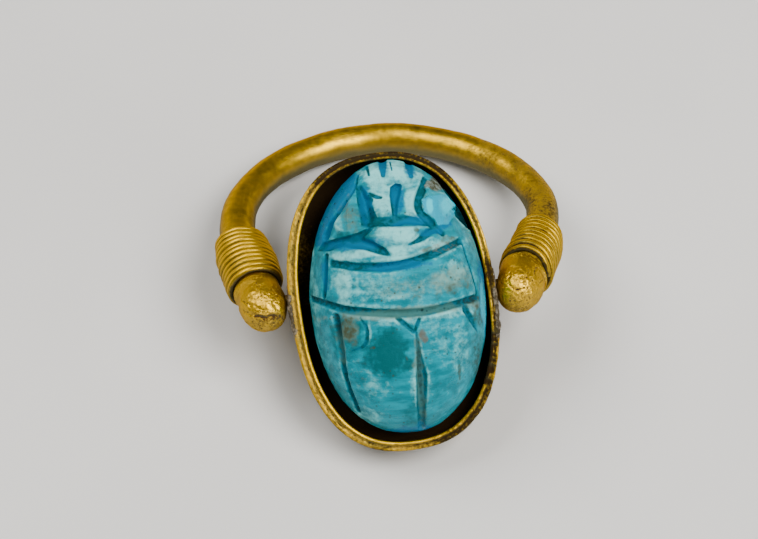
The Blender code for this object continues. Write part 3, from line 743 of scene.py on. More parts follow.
def gold_material(
    name, grime, tarnish, roughness, bump, masks=("hollow", "edge"), patina=0.0, gold=None, dirt=None
):
    """Aged gold. Grime is a value, or the name of a mask. Painted shade darkens gold that faces sideways or
    down to a dull olive, as strongly as asked.
    """
    finish = settings("finish")
    material, t, shader = new_material(name)
    aged = t.group(
        shared_group("aged_gold", build_aged_gold),
        Gold=gold or finish.gold, Bright=finish.bright_gold, Tarnish=finish.tarnish, Dirt=dirt or finish.dirt,
        Hollow=t.mask("hollow") if "hollow" in masks else 0.0,
        Edge=t.mask("edge") if "edge" in masks else 0.0,
        Grime=t.mask(grime) if isinstance(grime, str) else grime,
        Tarnish_Amount=tarnish, Roughness=roughness,
    )
    # Painted shade: gold facing sideways or down is mixed towards a dull olive, and made rougher and less
    # metallic.
    skin = t.times(t.mask("dull"), patina)
    base = t.mix(skin, aged["Color"], finish.skin)
    rough = t.plus(aged["Roughness"], skin, 0.15, clamp=True)
    metal = t.times(aged["Metal"], t.less(1.0, skin, 0.5))
    if "crust" in masks:
        lumps = t.noise(0.40, 5.0, 0.65)
        crust = t.plus(t.mask("crust"), t.swing(lumps, 2.4))
        crust = t.times(t.spread(crust, 0.45, 0.85), t.spread(t.mask("crust"), 0.05, 0.3))
        lumpy = t.mix(t.spread(lumps, 0.50, 0.62), scaled(finish.crust, 0.25), finish.crust)
        base = t.mix(crust, base, lumpy)
        rough = t.math("MAXIMUM", rough, t.times(crust, 0.9))
        metal = t.times(metal, t.less(1.0, crust))
    t.feed(shader, {
        "Base Color": base, "Roughness": rough, "Metallic": metal, "Specular Tint": (0.60, 0.40, 0.06),
        "Normal": t.bump(t.less(aged["Height"], t.scratches(0.00005, 0.6), 0.4), bump),
    })
    return material


def shared_gold(name, *values, **more):
    """The named gold, made once for both ends of the hoop."""
    return bpy.data.materials.get(name) or gold_material(name, *values, **more)


def crust_material():
    finish = settings("finish")
    material, t, shader = new_material("crust_on_pivots")
    patches = t.noise(0.5, 5.0, 0.65)
    base = t.mix(t.spread(patches, 0.35, 0.65), finish.crust, finish.dirt)
    base = t.mix(t.spread(t.noise(0.25, 3.0), 0.58, 0.68), base, PALE_LIME)
    metal = t.spread(t.noise(0.8, 3.0), 0.58, 0.70)
    t.feed(shader, {
        "Base Color": t.mix(metal, base, finish.gold), "Metallic": metal,
        "Roughness": t.spread(metal, 0.0, 1.0, 0.9, 0.4),
        "Normal": t.bump(t.plus(patches, t.pits(0.0003, 0.5)["Height"]), 0.00008),
    })
    return material


def faience_material():
    """Worn blue glaze: each step lays one more colour over it, where a mask and noise let it show."""
    finish = settings("finish")
    material, t, shader = new_material("blue_faience")
    clouds = t.noise(2.6, 5.0, 0.55)
    flecks = t.noise(0.34, 5.0, 0.62)
    fine = t.noise(0.09, 3.0, 0.6)
    streaks = t.noise(0.55, 4.0, 0.55, t.place((0.22, 1.0, 1.0)), 0.4)
    ragged = t.swing(flecks, 1.3)

    def patch(name, low=0.30, high=0.80):
        return t.spread(t.plus(t.mask(name), t.times(ragged, t.spread(t.mask(name), 0.0, 0.5))), low, high)

    glaze = t.mix(t.spread(streaks, 0.32, 0.68), finish.turquoise, scaled(finish.turquoise, 0.55))
    glaze = t.mix(patch("blue"), glaze, finish.bright_blue)
    glaze = t.mix(patch("green", 0.12, 1.0), glaze, finish.teal)

    # Rubbed glaze turns pale. Where pale patches paint a highlight, this paints it too.
    rubbed = t.plus(t.mask("pale"), t.plus(ragged, t.swing(clouds, 0.8)))
    rubbed = t.plus(t.plus(rubbed, t.mask("worn"), 0.40), t.less(0.5, streaks), 0.9)
    kept = t.math("MAXIMUM", t.times(t.mask("blue"), 0.95), t.times(t.mask("green"), 0.45))
    rubbed = t.spread(t.less(rubbed, kept), 0.10, 1.10)
    glaze = t.mix(rubbed, glaze, finish.pale)
    glaze = t.mix(t.times(patch("dust", 0.1, 0.9), 0.55), glaze, DUST_ON_GLAZE)

    pooled = t.mix(t.spread(flecks, 0.40, 0.60), finish.deep_blue, scaled(finish.teal, 0.60))
    pooled = t.mix(patch("blue", 0.15, 0.70), pooled, scaled(finish.bright_blue, 0.88))
    pooled = t.mix(t.times(patch("green", 0.15, 0.90), 0.7), pooled, scaled(finish.teal, 0.62))
    pooled = t.mix(t.times(patch("dust", 0.1, 0.9), 0.85), pooled, DUST_IN_GROOVES)
    glaze = t.mix(t.spread(t.mask("hollow"), 0.0, 1.0), glaze, pooled)

    pits = t.pits(0.0009, 0.17)
    pores = t.times(t.pits(0.00030, 0.34)["Mask"], t.spread(t.noise(1.5, 3.0), 0.46, 0.62))
    brown = t.math("MAXIMUM", t.times(patch("stain", 0.35, 1.0), 0.85), t.times(pits["Mask"], 0.8))
    brown = t.math("MAXIMUM", brown, t.times(pores, 0.75))
    glaze = t.mix(brown, glaze, t.mix(t.mask("hollow"), finish.stain, STAIN_IN_GROOVES))
    glaze = t.mix(t.times(patch("rust", 0.3, 0.9), 0.8), glaze, RUST)
    # The broken facets' colours, paler with a painted highlight where pale patches lie. They also paint light
    # onto the right flank's strip in the rim's shadow.
    chip_and_light = t.mix(t.spread(t.mask("pale"), 0.10, 0.70), CHIP_AND_LIT_BLUE, CHIP_PALE_AND_HIGHLIGHT)
    glaze = t.mix(t.spread(t.mask("broken"), 0.2, 0.8), glaze, chip_and_light)
    glaze = t.mix(patch("chalk"), glaze, t.mix(t.spread(flecks, 0.40, 0.62), finish.stain, finish.body))

    rough = t.plus(t.spread(rubbed, 0.0, 1.0, 0.36, 0.55), brown, 0.3, clamp=True)
    rough = t.plus(t.less(rough, t.mask("broken"), 0.16), t.mask("hollow"), 0.20, clamp=True)
    height = t.plus(t.times(fine, 0.35), flecks, 0.7)
    height = t.plus(t.less(height, t.scratches(0.00007, 1.0), 0.35), pits["Height"])
    t.feed(shader, {
        "Base Color": glaze, "Roughness": rough, "Normal": t.bump(height, 0.00005),
        "Specular IOR Level": 0.22, "Specular Tint": (0.15, 0.75, 1.0),
    })
    return material


# Hoop, bindings, knobs and pivots.


def build_hoop():
    hoop = settings("hoop")
    seat = settings("knob").seat
    line = HoopLine()
    stop = line.length - knob_back(line.right) - seat
    distance = np.linspace(knob_back(line.left) + seat, stop, HOOP_STATIONS)
    middle, radius = line.bar(distance)
    side = np.cross(line.heading(distance), UP)
    lift = np.repeat(UP[None, :], HOOP_STATIONS, axis=0)
    points, faces = capped_tube(middle, side, lift, radius, HOOP_SIDES)
    ring = points[:-2].reshape(HOOP_STATIONS, HOOP_SIDES, 3)
    out = unit(ring - middle[:, None, :])
    flat = ring.reshape(-1, 3)
    dents = grain(flat, 3.2 * MM, HOOP_SEED, 2) * hoop.dent
    dents = dents + grain(flat, 0.9 * MM, HOOP_SEED + 1, 3) * hoop.dent * 0.22
    dents = (dents - 0.5 * hoop.dent).reshape(HOOP_STATIONS, HOOP_SIDES, 1)
    points[:-2] = (ring + out * dents).reshape(-1, 3)
    points = laid(points, hoop_frame())
    # Darkening of the hoop: a little dirt all over, more dirt towards the legs, and painted shade that
    # darkens its right side.
    right = smooth((points[:, 0] - 3 * MM) / (5 * MM))
    legs = smooth((7 * MM - points[:, 1]) / (4 * MM))
    mesh = make_mesh("hoop_bar", points, faces, {"soil": 0.08 + 0.42 * right + 0.26 * legs})
    add_wear_masks(mesh, 3, 14.0)
    material = gold_material("hoop_gold_worn", "soil", 0.70, 0.38, 0.00002, patina=1.0)
    add_piece(mesh, material, "hoop", "hoop_gold", "hoop")


def build_binding(line, end):
    """One wire, wound close round the hoop's end, each turn a little out of true."""
    binding = settings("binding")
    turn = np.arange(int(end.turns * WIRE_PER_TURN) + 1) / WIRE_PER_TURN
    spin = 2 * math.pi * turn
    distance, heading = line.from_knob(end, end.start + binding.pitch * turn)
    middle, radius = line.bar(distance)
    jitter, wobble = (
        grain(np.stack([turn * rate, 0 * turn, 0 * turn], axis=1), 0.8, seed + end.side, 2)
        for rate, seed in ((0.37, TURNS_SEED), (1.7, WOBBLE_SEED))
    )
    coil = radius + binding.bed + binding.wire_radius + 0.5 * binding.looseness * wobble
    side = np.cross(heading, UP)
    lean = UP + math.tan(end.tilt) * heading
    arm = np.cos(spin)[:, None] * side + np.sin(spin)[:, None] * lean
    centres = middle + coil[:, None] * arm + (binding.looseness * 0.35 * jitter)[:, None] * heading
    along = unit(np.gradient(centres, axis=0))
    out = unit(arm - (arm * along).sum(1, keepdims=True) * along)
    across = np.cross(along, out)
    outward = np.cos(circle(WIRE_SIDES))
    rubbed = smooth(0.5 + 1.6 * grain(centres, 1.6 * MM, RUBBED_SEED + end.side, 2))
    worn = 1 - (0.06 + 0.22 * rubbed[:, None]) * np.maximum(outward, 0.0)[None, :] ** 3
    radii = binding.wire_radius * worn * (1 + 0.05 * wobble[:, None])
    points, faces = capped_tube(centres, out, across, radii, WIRE_SIDES)
    depth = np.tile(smooth((0.75 - outward) / 0.9), len(centres))
    crest = np.tile(smooth((outward - 0.72) / 0.26), len(centres))
    masks = {"hollow": np.append(depth, [1, 1]), "edge": np.append(crest, [0, 0])}
    mesh = make_mesh("wound_wire_" + end.name, moved(points, hoop_frame()), faces, masks)
    add_facing_shade_mask(mesh)
    material = shared_gold("wire_gold_worn", 0.24, 0.80, 0.44, 0.00002, patina=0.5)
    add_piece(mesh, material, "hoop", "wire_gold", "wire_binding_" + end.name, sharp=80)


# Folds in the crumpled caps: half width, depth in half widths, and points as (angle round the leg in
# degrees, 90 at the top and 0 at the right, and distance forward of the pivot in millimetres).
KNOB_FOLDS = {
    "left": [
        (0.15, 0.5, [(165, 1.3), (151, 1.86), (133, 2.26), (90, 2.34), (51, 2.25), (10, 2), (-15, 1.7)]),
        (0.09, 0.5, [(128, 0.9), (112, 1.35), (96, 1.15), (80, 1.5)]),
        (0.09, 0.5, [(60, 0.5), (52, 1.1), (64, 1.6), (40, 1.9)]),
        (0.07, 0.8, [(150, 0.6), (140, 1.2), (120, 1.7)]),
        (0.06, 0.7, [(30, 0.2), (36, 0.9), (26, 1.4)]),
        (0.06, 0.7, [(100, -0.2), (92, 0.4), (104, 0.8)]),
        (0.1, 0.9, [(200, 1.5), (215, 1.9), (240, 1.8)]),
    ],
    "right": [
        (0.1, 0.55, [(150, 0.9), (128, 1.2), (110, 0.9), (86, 1.3), (62, 1.2), (40, 1.5)]),
        (0.09, 0.5, [(112, 0), (100, 0.5), (104, 1), (90, 1.6)]),
        (0.09, 0.5, [(76, 0.2), (68, 0.8), (74, 1.4), (60, 1.9)]),
        (0.07, 0.9, [(120, 1.6), (100, 2), (70, 1.9)]),
        (0.07, 0.8, [(46, -0.1), (52, 0.5), (44, 1)]),
        (0.07, 0.8, [(140, 0.2), (146, 0.9), (136, 1.5)]),
        (0.06, 0.8, [(92, 0.6), (82, 1), (92, 1.35)]),
        (0.06, 0.8, [(20, 0.6), (28, 1.2), (14, 1.7)]),
    ],
}


def fold_knob(folds, flat, upper, lower):
    """How deep the folds lie at each point of a cap, and how much earth is in them."""
    knob = settings("knob")
    dip = np.zeros(len(flat))
    soil = np.zeros(len(flat))
    for half_width, depth, fold in folds:
        places = []
        for degrees, forward in fold:
            height = -forward * MM
            share = np.clip((height + knob.bulge) / (lower if height < -knob.bulge else upper), -1, 1)
            reach = knob.radius * math.sqrt(1 - share ** 2)
            turn = math.radians(degrees)
            places.append((reach * math.cos(turn), height, reach * math.sin(turn)))
        path = through(places, LINE_STEPS)
        near, _ = nearest_on_line(flat, path, [half_width * MM] * len(path))
        soil = np.maximum(soil, 2.4 * half_width * smooth(1.9 - near / 1.3))
        dip = np.maximum(dip, half_width * MM * depth * smooth(1 - near / 1.6))
        dip = dip - 0.35 * half_width * MM * smooth(1 - np.abs(near - 2.0) / 1.2)
    return dip, soil


def build_knob(line, end):
    """A crumpled cap over the hoop's end, bent to meet its leaning binding."""
    knob = settings("knob")
    back = knob_back(end)
    waist = knob.back_radius / knob.radius
    upper = (back + knob.bulge) / math.sqrt(1 - waist ** 2)
    lower = knob.tip - knob.bulge
    behind = np.linspace(math.acos(waist), 0, KNOB_BACK_ROWS + 1)[:-1]
    ahead = -np.linspace(0, math.pi / 2, KNOB_FRONT_ROWS + 1)[:-1]
    swing = np.concatenate([behind, ahead])
    radii = knob.radius * np.cos(swing)
    heights = np.where(swing > 0, upper, lower) * np.sin(swing) - knob.bulge
    around = circle(KNOB_SIDES)
    x = radii[:, None] * np.cos(around)[None, :]
    z = radii[:, None] * np.sin(around)[None, :]
    y = np.repeat(heights[:, None], KNOB_SIDES, axis=1)
    flat = np.stack([x, y, z], axis=-1).reshape(-1, 3)
    out = np.stack([flat[:, 0], 1.2 * np.minimum(flat[:, 1] + knob.bulge, 0.0), flat[:, 2]], axis=1)

    dip, soil = fold_knob(KNOB_FOLDS[end.name], flat, upper, lower)
    seed = KNOB_SEED + end.side
    crumple = 0.5 * grain(flat, 1.1 * MM, seed, 2) + 0.45 * np.abs(grain(flat, 0.6 * MM, seed + 1, 2)) - 0.1
    crumple = crumple + 0.50 * np.abs(grain(flat, 0.32 * MM, seed + 2, 3))
    soil = soil + 0.30 * smooth((flat[:, 1] + 0.5 * MM) / (1.2 * MM))
    soil = soil + 0.42 * smooth((-flat[:, 1] / MM - 1.75) / 0.5)
    calm = smooth((0.5 * MM - flat[:, 1]) / (1.1 * MM))
    dip = dip + knob.crumple * crumple * (0.25 + 0.75 * calm)
    dip = dip * smooth((back - flat[:, 1]) / (0.25 * MM))
    flat = flat - unit(out) * np.maximum(dip, -0.02 * MM)[:, None]
    points = np.concatenate([flat, [[0.0, -knob.tip + knob.crumple * 0.4, 0.0], [0.0, back, 0.0]]])

    share = smooth(points[:, 1] / back)
    distance, heading = line.from_knob(end, np.array([back]))
    place = line.at(distance)[0]
    heading = heading[0]
    local_x = points[:, 0] - end.side * knob.tip_lean * smooth(-points[:, 1] / knob.tip)
    slant = points[:, 2] * math.tan(end.tilt) - local_x * heading[0] / heading[1]
    points[:, 0] = local_x + place[0] - (1 - share) * (place[0] - end.side * end.pivot)
    points[:, 1] += share * (slant + place[1] - back)
    faces = closed_faces(len(swing), KNOB_SIDES, len(points) - 1, len(points) - 2)
    masks = {"soil": np.append(0.04 + soil, [0.3, 0.3])}
    mesh = make_mesh("crumpled_knob_" + end.name, moved(points, hoop_frame()), faces, masks)
    add_wear_masks(mesh, 1, 5.0)
    material = shared_gold(
        "knob_gold_bright", "soil", 0.20, 0.35, 0.00010, patina=0.5, gold=KNOB_GOLD, dirt=KNOB_DIRT
    )
    add_piece(mesh, material, "hoop", "knob_gold", "knob_" + end.name, sharp=70)


def build_collar(end):
    """A collar under a lumpy crust, close to the wall."""
    pivot = settings("pivot")
    low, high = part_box("pivot_collar_" + end.name)
    near = (low.x if end.side > 0 else -high.x) - PIVOT.x * end.side
    far = (high.x if end.side > 0 else -low.x) - PIVOT.x * end.side
    around = circle(COLLAR_SIDES)
    ring = np.stack([0 * around, np.cos(around), np.sin(around)], axis=1)
    lumps = np.minimum(1 + 0.05 * grain(ring, 0.55, COLLAR_SEED + end.side, 3), 1.02)
    bore = pivot.pin_radius + pivot.running_gap
    rings = []
    for i in range(COLLAR_ROWS):
        share = i / (COLLAR_ROWS - 1)
        radius = bore + (pivot.collar_radius - bore) * math.sin(math.pi * share) ** 0.35
        reach = near + (far - near) * share
        grown = radius * (lumps if radius > bore + 0.1 * MM else 1.0)
        rings.append(np.stack([
            np.full(COLLAR_SIDES, end.side * reach), grown * ring[:, 1], grown * ring[:, 2],
        ], axis=1))
    count = COLLAR_ROWS * COLLAR_SIDES
    faces = [[i % count for i in face] for face in grid_faces(COLLAR_ROWS + 1, COLLAR_SIDES, True)]
    points = moved(np.concatenate(rings), bezel_frame())
    mesh = make_mesh("crusted_collar_" + end.name, points, faces)
    material = bpy.data.materials.get("crust_on_pivots") or crust_material()
    add_piece(mesh, material, "bezel", "crusted_gold", "pivot_collar_" + end.name)


# The bezel.


def oval(inset, turn):
    bezel = settings("bezel")
    return superellipse(turn, bezel.half_width - inset, bezel.half_length - inset, bezel.squareness)


def oval_frame():
    bezel = settings("bezel")
    move = Matrix.Translation((bezel.side_shift, -bezel.tail_shift, 0))
    return bezel_frame() @ move @ Matrix.Rotation(bezel.skew, 4, "Z")


# The rim's double edge, in millimetres: inset from the wall's outer face, and height over the rim's level.
RIM_EDGE = [
    (0, -0.16), (0.005, -0.07), (0.04, -0.015), (0.09, 0), (0.15, -0.01), (0.2, -0.035), (0.25, -0.045),
    (0.3, -0.025), (0.35, 0.005), (0.42, -0.01),
]


def rim_profile():
    """Inset and height round the wall's section, from the back's middle over the rim to the plate."""
    bezel = settings("bezel")
    wall, back, top = bezel.wall, -bezel.back_depth, bezel.rim_height
    plate = back + bezel.plate
    section = [(share * bezel.half_width, back) for share in (0.70, 0.50, 0.35, 0.22, 0.12)]
    section += [(0.30 * MM, back), (0.09 * MM, back), (0.03 * MM, back + 0.03 * MM), (0.0, back + 0.09 * MM)]
    section += [(0.0, back + (top - back) * share) for share in np.linspace(0.12, 0.93, 12)]
    section += [(inset * MM, top + rise * MM) for inset, rise in RIM_EDGE]
    section += [(wall + 0.02 * MM, top - fall * MM) for fall in (0.08, 0.18)]
    section.append((wall, top - 0.30 * MM))
    section += [(wall, top + (plate - top) * share) for share in np.linspace(0.18, 0.92, 10)]
    section += [(wall + 0.03 * MM, plate + 0.05 * MM), (wall + 0.12 * MM, plate), (wall + 0.35 * MM, plate)]
    section += [(wall + share * bezel.half_width, plate) for share in (0.12, 0.25, 0.45, 0.65)]
    return section


def wall_at(side, inset):
    """Where the oval, inset by so much, crosses the pivot line on one side."""
    bezel = settings("bezel")
    x, y = oval(inset, np.linspace(-0.5, 0.5, 2001) + (0 if side > 0 else math.pi))
    turned_x = x * math.cos(bezel.skew) - y * math.sin(bezel.skew) + bezel.side_shift
    turned_y = x * math.sin(bezel.skew) + y * math.cos(bezel.skew) - bezel.tail_shift
    return abs(turned_x[np.argmin(np.abs(turned_y))])


def bore_cutter(side):
    """A stepped round cutter along the pivot line: the bore, and a seat on each face of the wall."""
    bezel = settings("bezel")
    pivot = settings("pivot")
    outer, inner = wall_at(side, 0.0), wall_at(side, bezel.wall)
    bore = pivot.pin_radius + pivot.running_gap
    profile = [
        (inner - pivot.overcut, pivot.head_radius + pivot.running_gap),
        (inner + pivot.inner_seat, pivot.head_radius + pivot.running_gap),
        (inner + pivot.inner_seat, bore), (outer - pivot.outer_seat, bore),
        (outer - pivot.outer_seat, pivot.collar_radius + pivot.seat_gap),
        (outer + pivot.overcut, pivot.collar_radius + pivot.seat_gap),
    ]
    centres = np.array([(side * reach, 0.0, 0.0) for reach, _ in profile])
    axis_y = np.repeat([[0.0, 1.0, 0.0]], len(profile), axis=0)
    axis_z = np.repeat([[0.0, 0.0, 1.0]], len(profile), axis=0)
    points, faces = capped_tube(centres, axis_y, axis_z, [radius for _, radius in profile], BORE_SIDES)
    return make_mesh("bore_cutter", moved(points, bezel_frame()), faces)


def cut(mesh, cutters):
    """A mesh with the cutters taken out of it."""
    whole = add_object("whole", mesh)
    tools = [add_object("cutter", cutter) for cutter in cutters]
    for tool in tools:
        modifier = whole.modifiers.new("cut", "BOOLEAN")
        modifier.operation = "DIFFERENCE"
        modifier.solver = "EXACT"
        modifier.object = tool
    result = bpy.data.meshes.new_from_object(whole.evaluated_get(bpy.context.evaluated_depsgraph_get()))
    for obj in (whole, *tools):
        bpy.data.objects.remove(obj)
    return result


# Places round the oval, in degrees from its right over its head: the crust beside each pivot, the stretch
# of rim that is broken away, the middles of the rim's thick parts, and of its golden and its dirty parts.
LEFT_CRUST, RIGHT_CRUST = 179, 346
RAGGED_FROM, RAGGED_TO = 309, 339
THICK_LEFT, THICK_TAIL = 185, 270
GOLDEN_LEFT, DIRTY_HEAD, DIRTY_TAIL = 155, 85, 255

# The band below the rim that is chipped and worn.
WORN_BAND = 1.2 * MM

# How dark each part of the bezel is made, before what is added round the rim.
RIM_GRIME, OUTSIDE_GRIME, INSIDE_DARKNESS, UNDER_GRIME = 0.29, 0.50, 1.4, 0.34


def about(polar, middle, reach, soft):
    """1 near an angle round the oval, easing down to 0 at its reach; all in degrees."""
    return smooth((reach - np.abs(polar - middle)) / soft)


def build_bezel():
    bezel = settings("bezel")
    turn = circle(BEZEL_STATIONS)
    top = bezel.rim_height
    x, y = oval(0.0, turn)
    polar = np.degrees(np.arctan2(y, x)) % 360
    ring = np.stack([x, y, 0 * x], axis=1)
    wave = grain(ring, 3.5 * MM, BEZEL_SEED, 3)
    nick = np.abs(grain(ring, 1.1 * MM, BEZEL_SEED + 1, 3))
    ragged = smooth((polar - RAGGED_FROM) / 4) * smooth((RAGGED_TO - polar) / 6)
    drop = 0.03 * MM * nick + 0.04 * MM * np.maximum(wave, 0)
    sliver = np.abs(grain(ring, 0.4 * MM, BEZEL_SEED + 2, 2))
    drop = drop + ragged * (0.24 + 0.34 * nick + 0.05 * sliver) * MM
    crusted = np.maximum(about(polar, LEFT_CRUST, 15, 8), about(polar, RIGHT_CRUST, 17, 8))
    left = about(polar, THICK_LEFT, 95, 60)
    right = about((polar + 180) % 360, 180, 85, 50)
    tail = about(polar, THICK_TAIL, 60, 40)
    thicker = bezel.rim_swell * (0.06 + 0.94 * left + 0.33 * right + 0.50 * tail * (1 - left))
    rings = []
    section = rim_profile()
    for inset, height in section:
        x, y = oval(inset, turn)
        lift = smooth((height - (top - WORN_BAND)) / WORN_BAND)
        chips = np.maximum(grain(ring * (1 + inset * 900), 0.5 * MM, BEZEL_SEED + 5, 3), 0)
        place = np.stack([x, y, height - drop * lift - 0.035 * MM * chips * lift], axis=1)
        lean = unit(np.stack([x / bezel.half_width ** 2, y / bezel.half_length ** 2, 0 * x], axis=1))
        push = -0.035 * MM * np.maximum(wave, 0) * lift
        push = push + 0.02 * MM * np.minimum(grain(place, 1.6 * MM, BEZEL_SEED + 3, 3), 0)
        push = push - thicker * min(inset / bezel.wall, 1.0) * smooth((height - top + 1.0 * MM) / (0.6 * MM))
        if inset < 0.2 * MM:
            lumps = np.maximum(grain(place, 0.7 * MM, BEZEL_SEED + 4, 3) + 0.25, 0)
            push = push + 0.16 * MM * np.minimum(lumps, 1.0) * crusted
        rings.append(place + lean * push[:, None])
    back, plate = -bezel.back_depth, bezel.plate - bezel.back_depth
    points = np.concatenate([*rings, [[0, 0, back], [0, 0, plate]]])
    faces = closed_faces(len(section), BEZEL_STATIONS, len(points) - 2, len(points) - 1)
    solid = make_mesh("bezel_solid", laid(points, oval_frame()), faces)
    mesh = cut(solid, [bore_cutter(-1), bore_cutter(1)])
    mesh.name = "bezel_setting"
    add_wear_masks(mesh, 1, 5.0)
    grime_bezel(mesh)
    material = gold_material(
        "bezel_gold_worn", "grime", 0.9, 0.46, 0.00004, masks=("hollow", "edge", "crust"), patina=0.5,
        gold=settings("finish").brown_gold,
    )
    add_piece(mesh, material, "bezel", "bezel_gold", "bezel", sharp=60)


def grime_bezel(mesh):
    """How dark the bezel is made: near black inside the cup, brown outside, clean on the left and the tail of
    its rim.
    """
    bezel = settings("bezel")
    place = moved(np.array([v.co for v in mesh.vertices]), oval_frame().inverted())
    x, y, z = place.T
    polar = np.degrees(np.arctan2(y, x)) % 360
    power = bezel.squareness
    shape = (np.abs(x) / bezel.half_width) ** power + (np.abs(y) / bezel.half_length) ** power
    across = (1 - shape ** (1 / power)) * bezel.half_width
    depth = bezel.rim_height - z
    plate_middle = bezel.plate / 2 - bezel.back_depth
    # The inside of the cup, between the wall and the scarab, is made near black, except on the left where it
    # stays golden brown.
    inside = smooth((across - 0.36 * MM) / (0.08 * MM)) * smooth((depth - 0.10 * MM) / (0.25 * MM))
    inside = inside * (z > plate_middle)
    golden = about(polar, GOLDEN_LEFT, 38, 22)
    outside = smooth((0.12 * MM - across) / (0.10 * MM)) * smooth((depth - 0.08 * MM) / (0.2 * MM))
    head = about(polar, DIRTY_HEAD, 48, 30)
    right = about((polar + 32 + 180) % 360, 180, 62, 24)
    tail_out = about(polar, DIRTY_TAIL, 60, 30) * smooth((0.2 * MM - across) / (0.12 * MM))
    rim = RIM_GRIME + 0.50 * head + 0.38 * right + 0.22 * tail_out
    rim = rim + 0.16 * smooth((0.30 * MM - across) / (0.12 * MM))
    grime = rim + (OUTSIDE_GRIME - rim) * outside
    grime = grime + (INSIDE_DARKNESS - 0.58 * golden - grime) * inside
    grime = grime + (UNDER_GRIME - grime) * (z < plate_middle) * (1 - outside)
    beside = np.maximum(about(polar, LEFT_CRUST, 17, 8), about(polar, RIGHT_CRUST, 20, 9))
    add_mask(mesh, "grime", grime)
    crust = beside * smooth((0.34 * MM - across) / (0.2 * MM)) * smooth((z + 1.3 * MM) / (0.4 * MM))
    add_mask(mesh, "crust", crust)


# The scarab. Places are given in shares of its half width and half length, from its own middle.

CHEST_FRONT = [
    (-1.05, 0.33), (-0.86, 0.4), (-0.52, 0.45), (-0.34, 0.47), (-0.2, 0.535), (0.08, 0.52), (0.38, 0.5),
    (0.54, 0.475), (0.78, 0.41), (1.05, 0.34),
]
BREAK_EDGE = [
    (0.45, 1.1), (0.566, 0.81), (0.655, 0.708), (0.748, 0.618), (0.718, 0.556), (0.866, 0.443),
    (1.2, 0.4), (1.2, 1.1),
]

# Carved lines: half widths along the line in shares of the half width, depth in half widths, points.
CARVING = [
    ((0.04, 0.054, 0.054, 0.052, 0.046), 1, [
        (-0.985, 0.045), (-0.6, -0.048), (-0.27, -0.084), (0.09, -0.108), (0.45, -0.098),
        (0.86, -0.052),
    ]),
    ((0.046, 0.056, 0.054, 0.044), 1, [
        (-0.71, 0.29), (-0.4, 0.252), (-0.03, 0.238), (0.38, 0.288), (0.75, 0.366),
    ]),
    ((0.044, 0.038), 0.9, [(-0.77, 0.345), (-0.81, 0.175), (-0.84, 0.06)]),
    ((0.018, 0.022), 1, [(0.77, 0.359), (0.885, 0.036), (0.885, -0.058)]),
    ((0.056, 0.046, 0.042), 1, [(-0.725, -0.1), (-0.7, -0.324), (-0.67, -0.555), (-0.57, -0.805)]),
    ((0.014, 0.038, 0.072, 0.062, 0.046), 0.9, [
        (0.158, -0.253), (0.172, -0.447), (0.179, -0.577), (0.155, -0.77), (0.137, -0.965),
    ]),
    ((0.034, 0.022), 1, [(-0.034, -0.134), (0.13, -0.243)]),
    ((0.022, 0.02), 1, [(0.206, -0.154), (0.14, -0.245)]),
    ((0.06, 0.044, 0.01), 0.8, [(0.745, -0.12), (0.797, -0.2), (0.856, -0.3)]),
    ((0.052, 0.07, 0.062, 0.05, 0.02), 0.7, [
        (-0.15, 0.566), (0.01, 0.556), (0.139, 0.56), (0.251, 0.545), (0.39, 0.508),
    ]),
    ((0.016, 0.026, 0.03, 0.04, 0.06), 0.9, [
        (-0.33, 0.905), (-0.385, 0.812), (-0.484, 0.738), (-0.582, 0.655), (-0.68, 0.57),
        (-0.745, 0.49),
    ]),
    ((0.012, 0.026, 0.024, 0.01), 0.8, [
        (-0.45, -0.112), (-0.388, -0.205), (-0.433, -0.312), (-0.575, -0.345),
    ]),
    ((0.026, 0.03, 0.022), 1, [(-0.215, 0.765), (-0.15, 0.742), (-0.095, 0.733)]),
    ((0.04, 0.054, 0.058, 0.056, 0.05, 0.04), 0.9, [
        (0.43, 0.845), (0.38, 0.772), (0.326, 0.701), (0.318, 0.627), (0.393, 0.55), (0.475, 0.492),
        (0.56, 0.436),
    ]),
    ((0.012, 0.044, 0.052), 0.8, [(0.163, 0.378), (0.277, 0.405), (0.373, 0.44), (0.49, 0.486)]),
    ((0.022, 0.018), 0.5, [(-0.222, 0.965), (-0.205, 0.9)]),
    ((0.054, 0.048, 0.03), 0.4, [(-0.035, 1), (-0.043, 0.95), (-0.047, 0.89)]),
    ((0.012, 0.01), 0.7, [(0.049, 0.985), (0.057, 0.921)]),
    ((0.052, 0.048, 0.03), 0.4, [(0.255, 0.975), (0.262, 0.93), (0.268, 0.865)]),
    ((0.012, 0.01), 0.8, [(-0.088, 0.486), (-0.094, 0.442)]),
    ((0.016, 0.012), 0.8, [(0.086, 0.476), (0.078, 0.425)]),
]

